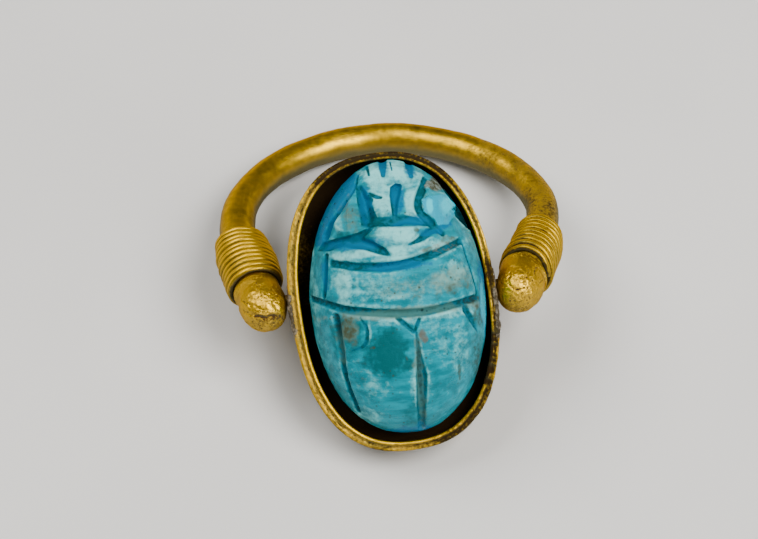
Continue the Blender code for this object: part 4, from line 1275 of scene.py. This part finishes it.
# Parts pressed in or standing up: kind, rise and softness in millimetres, slopes across and along, outline.
# A pressed part also holds dirt, and a facet is a face of the broken corner.
FORMS = [
    ("pressed", -0.8, 0.75, 0, 0, [
        (-0.372, 0.835), (-0.292, 0.838), (-0.22, 0.765), (-0.167, 0.725), (-0.193, 0.681),
        (-0.14, 0.579), (-0.149, 0.54), (-0.257, 0.51), (-0.353, 0.54), (-0.357, 0.625),
        (-0.375, 0.716),
    ]),
    ("pressed", -0.4, 0.24, 0, 0, [
        (0.015, 0.801), (0.085, 0.826), (0.16, 0.812), (0.134, 0.745), (0.09, 0.67), (0.066, 0.57),
        (0.008, 0.565), (0.002, 0.653), (0, 0.736),
    ]),
    ("pressed", -0.45, 0.34, 0, 0, [
        (-0.884, 0.38), (-0.795, 0.452), (-0.598, 0.475), (-0.401, 0.498), (-0.255, 0.528),
        (-0.207, 0.51), (-0.311, 0.457), (-0.219, 0.429), (-0.099, 0.373), (-0.02, 0.299),
        (-0.184, 0.325), (-0.356, 0.368), (-0.569, 0.4), (-0.72, 0.372),
    ]),
    ("plain", 0.14, 0.1, -0.16, 0, [
        (-0.4, 0.767), (-0.484, 0.723), (-0.573, 0.645), (-0.667, 0.575), (-0.67, 0.553),
        (-0.604, 0.51), (-0.548, 0.495), (-0.452, 0.499), (-0.39, 0.561), (-0.35, 0.592),
        (-0.369, 0.675),
    ]),
    ("plain", 0.08, 0.1, 0, 0, [
        (-0.311, 0.457), (-0.208, 0.509), (-0.103, 0.525), (0.113, 0.512), (0.352, 0.502),
        (0.308, 0.476), (0.237, 0.439), (0.165, 0.386), (-0.02, 0.299), (-0.099, 0.373),
        (-0.219, 0.429),
    ]),
    ("facet", -0.1, 0.05, 0.28, -0.1, [
        (0.372, 0.69), (0.456, 0.712), (0.522, 0.627), (0.483, 0.545), (0.38, 0.61),
    ]),
    ("facet", -0.06, 0.05, -0.16, 0.1, [
        (0.456, 0.712), (0.644, 0.712), (0.748, 0.618), (0.638, 0.566), (0.521, 0.5), (0.483, 0.545),
        (0.522, 0.627),
    ]),
    ("facet", -0.34, 0.06, -0.3, -0.6, [
        (0.748, 0.618), (0.715, 0.561), (0.626, 0.495), (0.521, 0.5), (0.638, 0.566),
    ]),
    ("plain", -0.12, 0.1, -0.2, 0.15, [(0.475, 0.867), (0.582, 0.854), (0.67, 0.726), (0.448, 0.74)]),
    ("plain", 0.16, 0.4, -0.04, 0, [
        (-0.321, 0.925), (-0.339, 0.918), (-0.5, 0.882), (-0.617, 0.796), (-0.742, 0.694),
        (-0.83, 0.582), (-0.905, 0.468), (-0.935, 0.386), (-0.865, 0.4), (-0.745, 0.47), (-0.69, 0.54),
        (-0.65, 0.6), (-0.575, 0.664), (-0.478, 0.749), (-0.37, 0.83),
    ]),
]

# Colour, for each mask: a patch's strength, its middle across and along, and its radii.
PATCHES = {
    "pale": [
        (0.85, 0.05, 0.88, 0.36, 0.13), (0.75, -0.08, 0.7, 0.1, 0.1), (0.75, 0.24, 0.68, 0.12, 0.13),
        (0.95, 0.02, 0.45, 0.28, 0.07), (0.8, -0.45, 0.345, 0.36, 0.035), (0.55, 0.05, 0.29, 0.3, 0.04),
        (0.75, -0.6, 0.12, 0.12, 0.12), (0.35, -0.52, 0.1, 0.03, 0.1), (0.45, -0.36, -0.22, 0.03, 0.1),
        (0.6, 0.55, -0.145, 0.3, 0.035), (0.45, -0.1, -0.16, 0.26, 0.035),
        (0.25, 0.28, -0.55, 0.05, 0.28), (0.25, 0.07, -0.6, 0.04, 0.25),
        (0.45, -0.45, -0.84, 0.16, 0.06), (0.45, 0.58, 0.2, 0.16, 0.07), (0.62, 0.45, 0.36, 0.32, 0.05),
        (0.35, -0.93, 0.1, 0.05, 0.3), (0.35, -0.3, -0.6, 0.2, 0.12), (0.45, -0.6, 0.57, 0.07, 0.07),
        # The patches at 0.44, 0.635 and at 0.64, 0.63 give the shiny broken facets their paler colour and a
        # painted highlight. The one at -0.92, 0.44 is a painted highlight along the outer edge of the left
        # foreleg.
        (0.15, -0.5, 0.64, 0.1, 0.1), (0.85, 0.44, 0.635, 0.04, 0.06), (0.36, 0.66, -0.4, 0.14, 0.24),
        (0.5, 0.64, 0.63, 0.09, 0.07), (0.7, -0.92, 0.44, 0.03, 0.1), (0.12, -0.88, -0.35, 0.1, 0.36),
        # The patch at 0.955, -0.1 is painted light on the right flank's strip, which lies in the rim's
        # shadow.
        (0.5, 0, 0.1, 0.75, 0.12), (0.9, 0.05, 0.33, 0.14, 0.08), (0.3, 0.955, -0.1, 0.03, 0.2),
        (0.26, 0.45, -0.3, 0.22, 0.16), (0.6, 0.6, 0.15, 0.2, 0.12),
    ],
    "green": [
        (1, -0.17, -0.38, 0.24, 0.2), (0.4, 0.3, 0.12, 0.6, 0.12), (0.55, -0.44, 0.6, 0.14, 0.12),
        (0.7, 0.37, 0.72, 0.07, 0.12), (0.65, 0.85, -0.55, 0.14, 0.3), (0.55, 0.05, -0.85, 0.14, 0.12),
        (0.6, 0.44, 0.53, 0.12, 0.08), (0.55, -0.65, -0.25, 0.2, 0.14), (0.4, 0.3, -0.62, 0.1, 0.2),
        (0.8, -0.6, -0.2, 0.2, 0.12), (0.8, -0.2, 0.58, 0.08, 0.08), (0.7, -0.4, 0.47, 0.3, 0.05),
    ],
    "chalk": [
        (0.22, -0.5, 0.62, 0.12, 0.1), (1, 0.55, 0.8, 0.12, 0.07), (0.6, 0.62, 0.92, 0.14, 0.1),
        (0.45, 0.5, 0.34, 0.3, 0.05),
    ],
    "stain": [
        (0.4, -0.48, 0.64, 0.08, 0.07), (0.72, -0.66, -0.15, 0.15, 0.08),
        (0.5, -0.56, -0.25, 0.12, 0.07), (0.75, 0.89, -0.2, 0.06, 0.1), (0.6, 0.2, 0, 0.07, 0.025),
        (0.55, 0.44, -0.01, 0.05, 0.04), (0.7, 0.61, 0.03, 0.09, 0.05), (0.6, 0.76, 0.065, 0.06, 0.06),
        (0.8, 0.61, -0.56, 0.02, 0.08), (0.45, -0.5, -0.45, 0.09, 0.1),
        (0.8, -0.336, -0.334, 0.04, 0.014), (0.7, 0.03, -0.427, 0.02, 0.02),
        (0.7, -0.142, -0.548, 0.02, 0.012), (0.6, -0.606, -0.514, 0.02, 0.02),
        (0.8, -0.068, -0.862, 0.014, 0.01), (0.8, 0.044, 0.155, 0.016, 0.008),
        (0.8, 0.62, 0.388, 0.12, 0.03), (0.85, 0.38, 0.335, 0.08, 0.035), (0.45, 0.5, 0.42, 0.08, 0.03),
        (0.85, 0.262, 0.48, 0.045, 0.025), (0.6, 0.84, -0.56, 0.06, 0.26),
        (0.5, 0.66, -0.84, 0.16, 0.07), (0.5, -0.86, -0.66, 0.06, 0.22),
        (0.85, -0.582, -0.206, 0.09, 0.06), (0.45, -0.497, -0.583, 0.1, 0.07),
        (0.6, 0.596, 0.049, 0.1, 0.05), (0.45, 0.179, 0.032, 0.07, 0.03),
        (0.8, 0.165, -0.55, 0.035, 0.26), (0.55, -0.3, 0.245, 0.3, 0.02), (0.45, 0.3, -0.1, 0.4, 0.02),
        (0.85, 0.8, -0.06, 0.16, 0.03), (0.35, 0, 0.1, 0.6, 0.1), (0.35, -0.1, 0.75, 0.2, 0.1),
        (0.5, -0.1, 0.86, 0.03, 0.03), (0.4, 0, 0.95, 0.2, 0.02),
    ],
    "blue": [
        (1, -0.44, 0.86, 0.1, 0.08), (1, -0.58, 0.76, 0.1, 0.1), (1, -0.72, 0.63, 0.09, 0.12),
        (1, -0.8, 0.5, 0.08, 0.1), (0.8, 0.05, 0.235, 0.5, 0.04), (0.75, -0.4, 0.42, 0.4, 0.05),
        (0.8, 0.1, 0.72, 0.08, 0.14), (0.7, 0.25, 0.545, 0.3, 0.04), (0.8, -0.04, 0.95, 0.06, 0.08),
        (0.8, 0.26, 0.93, 0.06, 0.08), (0.6, -0.81, 0.2, 0.05, 0.16), (0.8, 0.42, 0.46, 0.16, 0.03),
        (1, 0.97, -0.1, 0.06, 0.36), (0.85, 0.05, -0.99, 0.34, 0.05), (0.9, -0.28, 0.68, 0.07, 0.15),
        (0.4, 0.1, 0.78, 0.06, 0.06), (0.85, 0.6, 0.5, 0.1, 0.04),
    ],
    "dust": [
        (1, 0.05, -0.1, 0.8, 0.04), (0.8, 0.165, -0.6, 0.05, 0.32), (0.72, 0.58, 0.09, 0.26, 0.1),
        (0.45, 0.1, 0.06, 0.4, 0.07), (0.45, -0.46, 0.62, 0.12, 0.12), (0.7, -0.58, -0.2, 0.12, 0.08),
        (0.6, -0.69, -0.3, 0.04, 0.2),
    ],
    "broken": [
        # Painted light, not a break: this patch gives the right flank's strip, in the rim's shadow, the
        # bright colours of the broken facets.
        (0.9, 0.955, -0.14, 0.035, 0.24),
    ],
    "rust": [
        (0.9, 0.222, -0.268, 0.04, 0.034), (0.8, 0.256, -0.305, 0.04, 0.034),
    ],
}

# How green the beetle's sides and base are.
GREEN_SIDES = 0.5

# The beetle's sides below its carved skin: height as a share of the skin's edge, and inset in millimetres.
SIDE_PROFILE = [
    (0.93, 0), (0.84, 0.01), (0.8, 0.1), (0.76, 0.01), (0.6, 0), (0.45, 0.04), (0.25, 0.02), (0.04, 0.03),
    (0, 0.1),
]


def scarab_frame():
    bezel = settings("bezel")
    scarab = settings("scarab")
    move = Matrix.Translation((
        bezel.side_shift + scarab.side_shift,
        scarab.head_shift - bezel.tail_shift,
        bezel.plate - bezel.back_depth + scarab.seat,
    ))
    return bezel_frame() @ move @ Matrix.Rotation(scarab.skew, 4, "Z")


def back_height(x, y):
    """Height of the uncarved beetle: its domed back, and the sloping plane of its head."""
    scarab = settings("scarab")
    power = np.where(y > 0, scarab.head_squareness, scarab.tail_squareness)
    ring = np.minimum((np.abs(x) ** power + np.abs(y) ** power) ** (1 / power), 1.0)
    rise = (1 - ring ** scarab.sharpness) ** scarab.fullness
    dome = scarab.side_height + (scarab.height - scarab.side_height) * rise
    share = (y - scarab.face_back) / (1 - scarab.face_back)
    face = scarab.face_back_height + (scarab.face_front_height - scarab.face_back_height) * share
    front = np.interp(x, [p[0] for p in CHEST_FRONT], [p[1] for p in CHEST_FRONT])
    ahead = smooth((y - front) / 0.022 + 0.5)
    return dome + (np.minimum(dome, face) - dome) * ahead


def scarab_grid():
    """Places over the beetle's oval, as shares, on a grid that follows its outline."""
    scarab = settings("scarab")
    across, along = np.meshgrid(np.linspace(-1, 1, scarab.columns), np.linspace(-1, 1, scarab.rows))
    x = across * np.sqrt(1 - along ** 2 / 2)
    y = along * np.sqrt(1 - across ** 2 / 2)
    reach = np.minimum(np.hypot(x, y), 1.0)
    turn = np.arctan2(y, x)
    share = 0.45 * reach + 0.55 * np.sin(0.5 * math.pi * reach)
    square = np.where(y > 0, scarab.head_squareness, scarab.tail_squareness)
    edge_x, edge_y = superellipse(turn, 1.0, 1.0, square)
    return share * edge_x, share * edge_y


def on_scarab(x, y):
    scarab = settings("scarab")
    return np.stack([x * scarab.half_width, y * scarab.half_length, back_height(x, y)], axis=-1)


def blurred(field, times):
    for _ in range(times):
        padded = np.pad(field, 1, mode="edge")
        field = (padded[1:-1, :-2] + padded[1:-1, 2:] + padded[:-2, 1:-1] + padded[2:, 1:-1]) / 4
    return field


def carve(points):
    """Depth of the carving at each point, and how far it lies in a groove."""
    scarab = settings("scarab")
    depth = np.zeros(len(points))
    hollow = np.zeros(len(points))
    for half_widths, share, places in CARVING:
        line = through(places, LINE_STEPS)
        places_on = on_scarab(line[:, 0], line[:, 1])
        widths = np.interp(np.linspace(0, 1, len(line)), np.linspace(0, 1, len(half_widths)), half_widths)
        near, width = nearest_on_line(points, places_on, widths * scarab.half_width)
        section = (1 - np.minimum(near, 1.0) ** 2.4) ** 0.8
        depth = np.maximum(depth, section * width * share)
        hollow = np.maximum(hollow, smooth((1.12 - near) * 1.9))
    return depth, hollow


def paint(x, y, flat):
    """Colour masks over the beetle, with ragged patches."""
    rough = grain(flat, 0.9 * MM, SCARAB_SEED + 2, 3)
    masks = {}
    for name, patches in PATCHES.items():
        masks[name] = np.zeros(len(flat))
        for strength, middle_x, middle_y, radius_x, radius_y in patches:
            reach = np.hypot((x - middle_x) / radius_x, (y - middle_y) / radius_y).ravel()
            masks[name] = np.maximum(masks[name], strength * smooth(1.45 - reach * (1 + 0.45 * rough)))
    return masks


def form(flat):
    """Rise of the pressed and the standing parts at each point, and how far each lies in a pressed one."""
    scarab = settings("scarab")
    plan = flat[:, :2]
    rise = np.zeros(len(flat))
    hollow = np.zeros(len(flat))
    for kind, lift, softness, across, along, outline in FORMS:
        corners = [np.array([a * scarab.half_width, b * scarab.half_length]) for a, b in outline]
        inside = inside_outline(plan[:, 0], plan[:, 1], [tuple(c) for c in corners])
        reach, _ = nearest_on_line(plan[inside], corners + corners[:1], [1.0] * (len(corners) + 1))
        share = smooth(reach / (softness * MM))
        middle = np.mean(corners, axis=0)
        slope = (plan[inside] - middle) @ np.array([across, along])
        rise[inside] += share * (lift * MM + slope)
        if kind == "pressed":
            hollow[inside] = np.maximum(hollow[inside], smooth(reach / (0.12 * MM)))
    return rise, hollow


def close_below(surface):
    """Points and faces of the carved skin, with sides and a flat base under it."""
    scarab = settings("scarab")
    rows, columns = surface.shape[:2]
    edge = [(0, j) for j in range(columns)] + [(i, columns - 1) for i in range(1, rows)]
    edge += [(rows - 1, j) for j in range(columns - 2, -1, -1)] + [(i, 0) for i in range(rows - 2, 0, -1)]
    count = len(edge)
    rim = np.array([surface[i, j] for i, j in edge])
    parts = [surface.reshape(-1, 3)]
    rings = [[i * columns + j for i, j in edge]]
    for level, inset in SIDE_PROFILE:
        narrow = 1 - inset * MM / scarab.half_width
        parts.append(rim * [narrow, narrow, level])
    parts.append(rim * [0.6, 0.6, 0.0])
    for k in range(len(SIDE_PROFILE) + 1):
        first = rows * columns + k * count
        rings.append(list(range(first, first + count)))
    points = np.concatenate([*parts, np.zeros((1, 3))])
    faces = grid_faces(rows, columns, False)
    for upper, lower in zip(rings, rings[1:]):
        for i in range(count):
            j = (i + 1) % count
            faces.append([upper[i], lower[i], lower[j], upper[j]])
    faces += [[len(points) - 1, rings[-1][(i + 1) % count], rings[-1][i]] for i in range(count)]
    return points, faces


def build_scarab():
    scarab = settings("scarab")
    x, y = scarab_grid()
    rows, columns = x.shape
    base = on_scarab(x, y)
    rise, pressed = form(base.reshape(-1, 3))
    base[..., 2] += blurred(rise.reshape(rows, columns), 2)
    normal = unit(np.cross(np.gradient(base, axis=1), np.gradient(base, axis=0)) + 1e-12 * UP)
    flat = base.reshape(-1, 3)
    depth, hollow = carve(flat)
    wander = 0.05 * MM * grain(flat, 2.2 * MM, SCARAB_SEED, 3)
    wander = wander + 0.018 * MM * grain(flat, 0.5 * MM, SCARAB_SEED + 1, 2)
    depth = blurred(depth.reshape(rows, columns), 1).ravel() - wander + 0.03 * MM
    carved = flat - normal.reshape(-1, 3) * depth[:, None]
    broken = inside_outline(x, y, BREAK_EDGE).ravel()
    floor = scarab.break_floor + 0.15 * MM * grain(flat, 0.8 * MM, SCARAB_SEED + 3, 3)
    carved[broken, 2] = np.minimum(carved[broken, 2], floor[broken])
    surface = carved.reshape(rows, columns, 3)
    relief = surface[..., 2] - blurred(surface[..., 2], 5)
    worn = np.clip(relief / (0.03 * MM), 0, 1).ravel()
    masks = {"hollow": np.maximum(hollow, pressed), "worn": worn, **paint(x, y, flat)}
    for kind, *_, outline in FORMS:
        if kind == "facet":
            masks["broken"] = np.maximum(masks["broken"], inside_outline(x, y, outline).ravel())

    points, faces = close_below(surface)
    for name, values in masks.items():
        below = GREEN_SIDES if name == "green" else 0.0
        masks[name] = np.append(values, np.full(len(points) - len(flat), below))
    mesh = make_mesh("faience_scarab", moved(points, scarab_frame()), faces, masks)
    add_piece(mesh, faience_material(), "bezel", "faience", "scarab", sharp=75)


# Floor, light and camera.

WARM_WHITE = (1.0, 0.98, 0.95)
COOL_WHITE = (0.96, 0.98, 1.0)


def area_light(name, place, size, power, tint):
    data = bpy.data.lights.new(name, "AREA")
    data.shape = "DISK"
    data.size = size
    data.energy = power
    data.color = tint
    light = add_object(name, data)
    light.location = place
    light.rotation_euler = (PIVOT - Vector(place)).to_track_quat("-Z", "Y").to_euler()


def lay_floor():
    stage = settings("stage")
    half = stage.floor_size / 2
    corners = [(-half, -half, 0), (half, -half, 0), (half, half, 0), (-half, half, 0)]
    mesh = make_mesh("pale_floor", corners, [[0, 1, 2, 3]])
    material, t, shader = new_material("pale_board")
    shade = t.mix(t.spread(t.noise(40.0, 3.0), 0.4, 0.6), stage.floor, scaled(stage.floor, 0.96))
    t.feed(shader, {"Base Color": shade, "Roughness": 0.9})
    mesh.materials.append(material)
    add_object("pale_floor", mesh)


def light_scene():
    world = bpy.data.worlds.new("studio")
    bpy.context.scene.world = world
    world.use_nodes = True
    background = world.node_tree.nodes["Background"]
    background.inputs["Color"].default_value = (1.0, 1.0, 1.0, 1.0)
    background.inputs["Strength"].default_value = 0.15
    area_light("key_light", (0.125, -0.085, 0.25), 0.17, 0.92, WARM_WHITE)
    area_light("side_light", (-0.13, 0.06, 0.23), 0.20, 0.55, WARM_WHITE)
    area_light("fill_light", (0.15, -0.20, 0.17), 0.16, 0.20, COOL_WHITE)


def set_camera():
    stage = settings("stage")
    data = bpy.data.cameras.new("camera")
    camera = add_object("camera", data)
    bpy.context.scene.camera = camera
    a, e, r = stage.azimuth, stage.elevation, stage.roll
    back = Vector((math.sin(a) * math.cos(e), -math.cos(a) * math.cos(e), math.sin(e)))
    right = Vector((math.cos(a), math.sin(a), 0.0))
    up = back.cross(right)
    right, up = right * math.cos(r) + up * math.sin(r), up * math.cos(r) - right * math.sin(r)
    camera.location = PIVOT + back * stage.distance
    forward = (-back - right * stage.aim_across + up * stage.aim_down).normalized()
    right = (right - forward * right.dot(forward)).normalized()
    up = right.cross(forward)
    camera.rotation_mode = "QUATERNION"
    camera.rotation_quaternion = Matrix((right, up, -forward)).transposed().to_quaternion()
    data.lens = stage.focal_length
    data.sensor_width = 36.0
    data.clip_start = 0.01
    data.clip_end = 5.0


# Operators, one for each piece or group of like pieces.


class RING_OT_hoop(bpy.types.Operator):
    """Build the hoop's worn gold bar"""

    bl_idname = "scarab_ring.hoop"
    bl_label = "Hoop"

    def execute(self, context):
        build_hoop()
        return {"FINISHED"}


class RING_OT_bindings(bpy.types.Operator):
    """Wind the gold wire round both ends of the hoop"""

    bl_idname = "scarab_ring.bindings"
    bl_label = "Wire bindings"

    def execute(self, context):
        line = HoopLine()
        for end in (line.left, line.right):
            build_binding(line, end)
        return {"FINISHED"}


class RING_OT_knobs(bpy.types.Operator):
    """Build the crumpled gold caps on the hoop's ends"""

    bl_idname = "scarab_ring.knobs"
    bl_label = "Knobs"

    def execute(self, context):
        line = HoopLine()
        for end in (line.left, line.right):
            build_knob(line, end)
        return {"FINISHED"}


class RING_OT_pivots(bpy.types.Operator):
    """Finish the pivot pins and build the crusted collars"""

    bl_idname = "scarab_ring.pivots"
    bl_label = "Pivots"

    def execute(self, context):
        pin_gold = gold_material("pivot_gold_dull", 0.42, 0.9, 0.5, 0.00003, masks=(), gold=PIN_GOLD)
        line = HoopLine()
        for end in (line.left, line.right):
            build_collar(end)
            frame["nodes"]["pivot_pin_" + end.name].data.materials[0] = pin_gold
        return {"FINISHED"}


class RING_OT_bezel(bpy.types.Operator):
    """Build the bezel's wall, rim and back plate"""

    bl_idname = "scarab_ring.bezel"
    bl_label = "Bezel"

    def execute(self, context):
        build_bezel()
        return {"FINISHED"}


class RING_OT_scarab(bpy.types.Operator):
    """Carve the faience scarab"""

    bl_idname = "scarab_ring.scarab"
    bl_label = "Scarab"

    def execute(self, context):
        build_scarab()
        return {"FINISHED"}


class RING_OT_stage(bpy.types.Operator):
    """Lay the floor, and set the lights and the camera"""

    bl_idname = "scarab_ring.stage"
    bl_label = "Floor, light and camera"

    def execute(self, context):
        lay_floor()
        light_scene()
        set_camera()
        return {"FINISHED"}


OPERATORS = (
    RING_OT_stage,
    RING_OT_hoop,
    RING_OT_bindings,
    RING_OT_knobs,
    RING_OT_pivots,
    RING_OT_bezel,
    RING_OT_scarab,
)


class RING_PT_panel(bpy.types.Panel):
    """Lists the ring's pieces"""

    bl_idname = "RING_PT_panel"
    bl_label = "Scarab Ring"
    bl_space_type = "VIEW_3D"
    bl_region_type = "UI"
    bl_category = "Scarab Ring"

    def draw(self, context):
        for operator in OPERATORS:
            self.layout.operator(operator.bl_idname)
        for name in SETTINGS:
            box = self.layout.box()
            box.label(text=name.replace("ring_", "").title())
            group = getattr(context.scene, name)
            for key in group.__annotations__:
                box.prop(group, key)


def register():
    for name, group in SETTINGS.items():
        bpy.utils.register_class(group)
        setattr(bpy.types.Scene, name, PointerProperty(type=group))
    for cls in (*OPERATORS, RING_PT_panel):
        bpy.utils.register_class(cls)


def unregister():
    for cls in (RING_PT_panel, *reversed(OPERATORS)):
        bpy.utils.unregister_class(cls)
    for name, group in reversed(SETTINGS.items()):
        delattr(bpy.types.Scene, name)
        bpy.utils.unregister_class(group)


def main():
    register()
    bpy.ops.scarab_ring.stage()
    bpy.ops.scarab_ring.hoop()
    bpy.ops.scarab_ring.bindings()
    bpy.ops.scarab_ring.knobs()
    bpy.ops.scarab_ring.pivots()
    bpy.ops.scarab_ring.bezel()
    bpy.ops.scarab_ring.scarab()


if __name__ == "__main__":
    main()
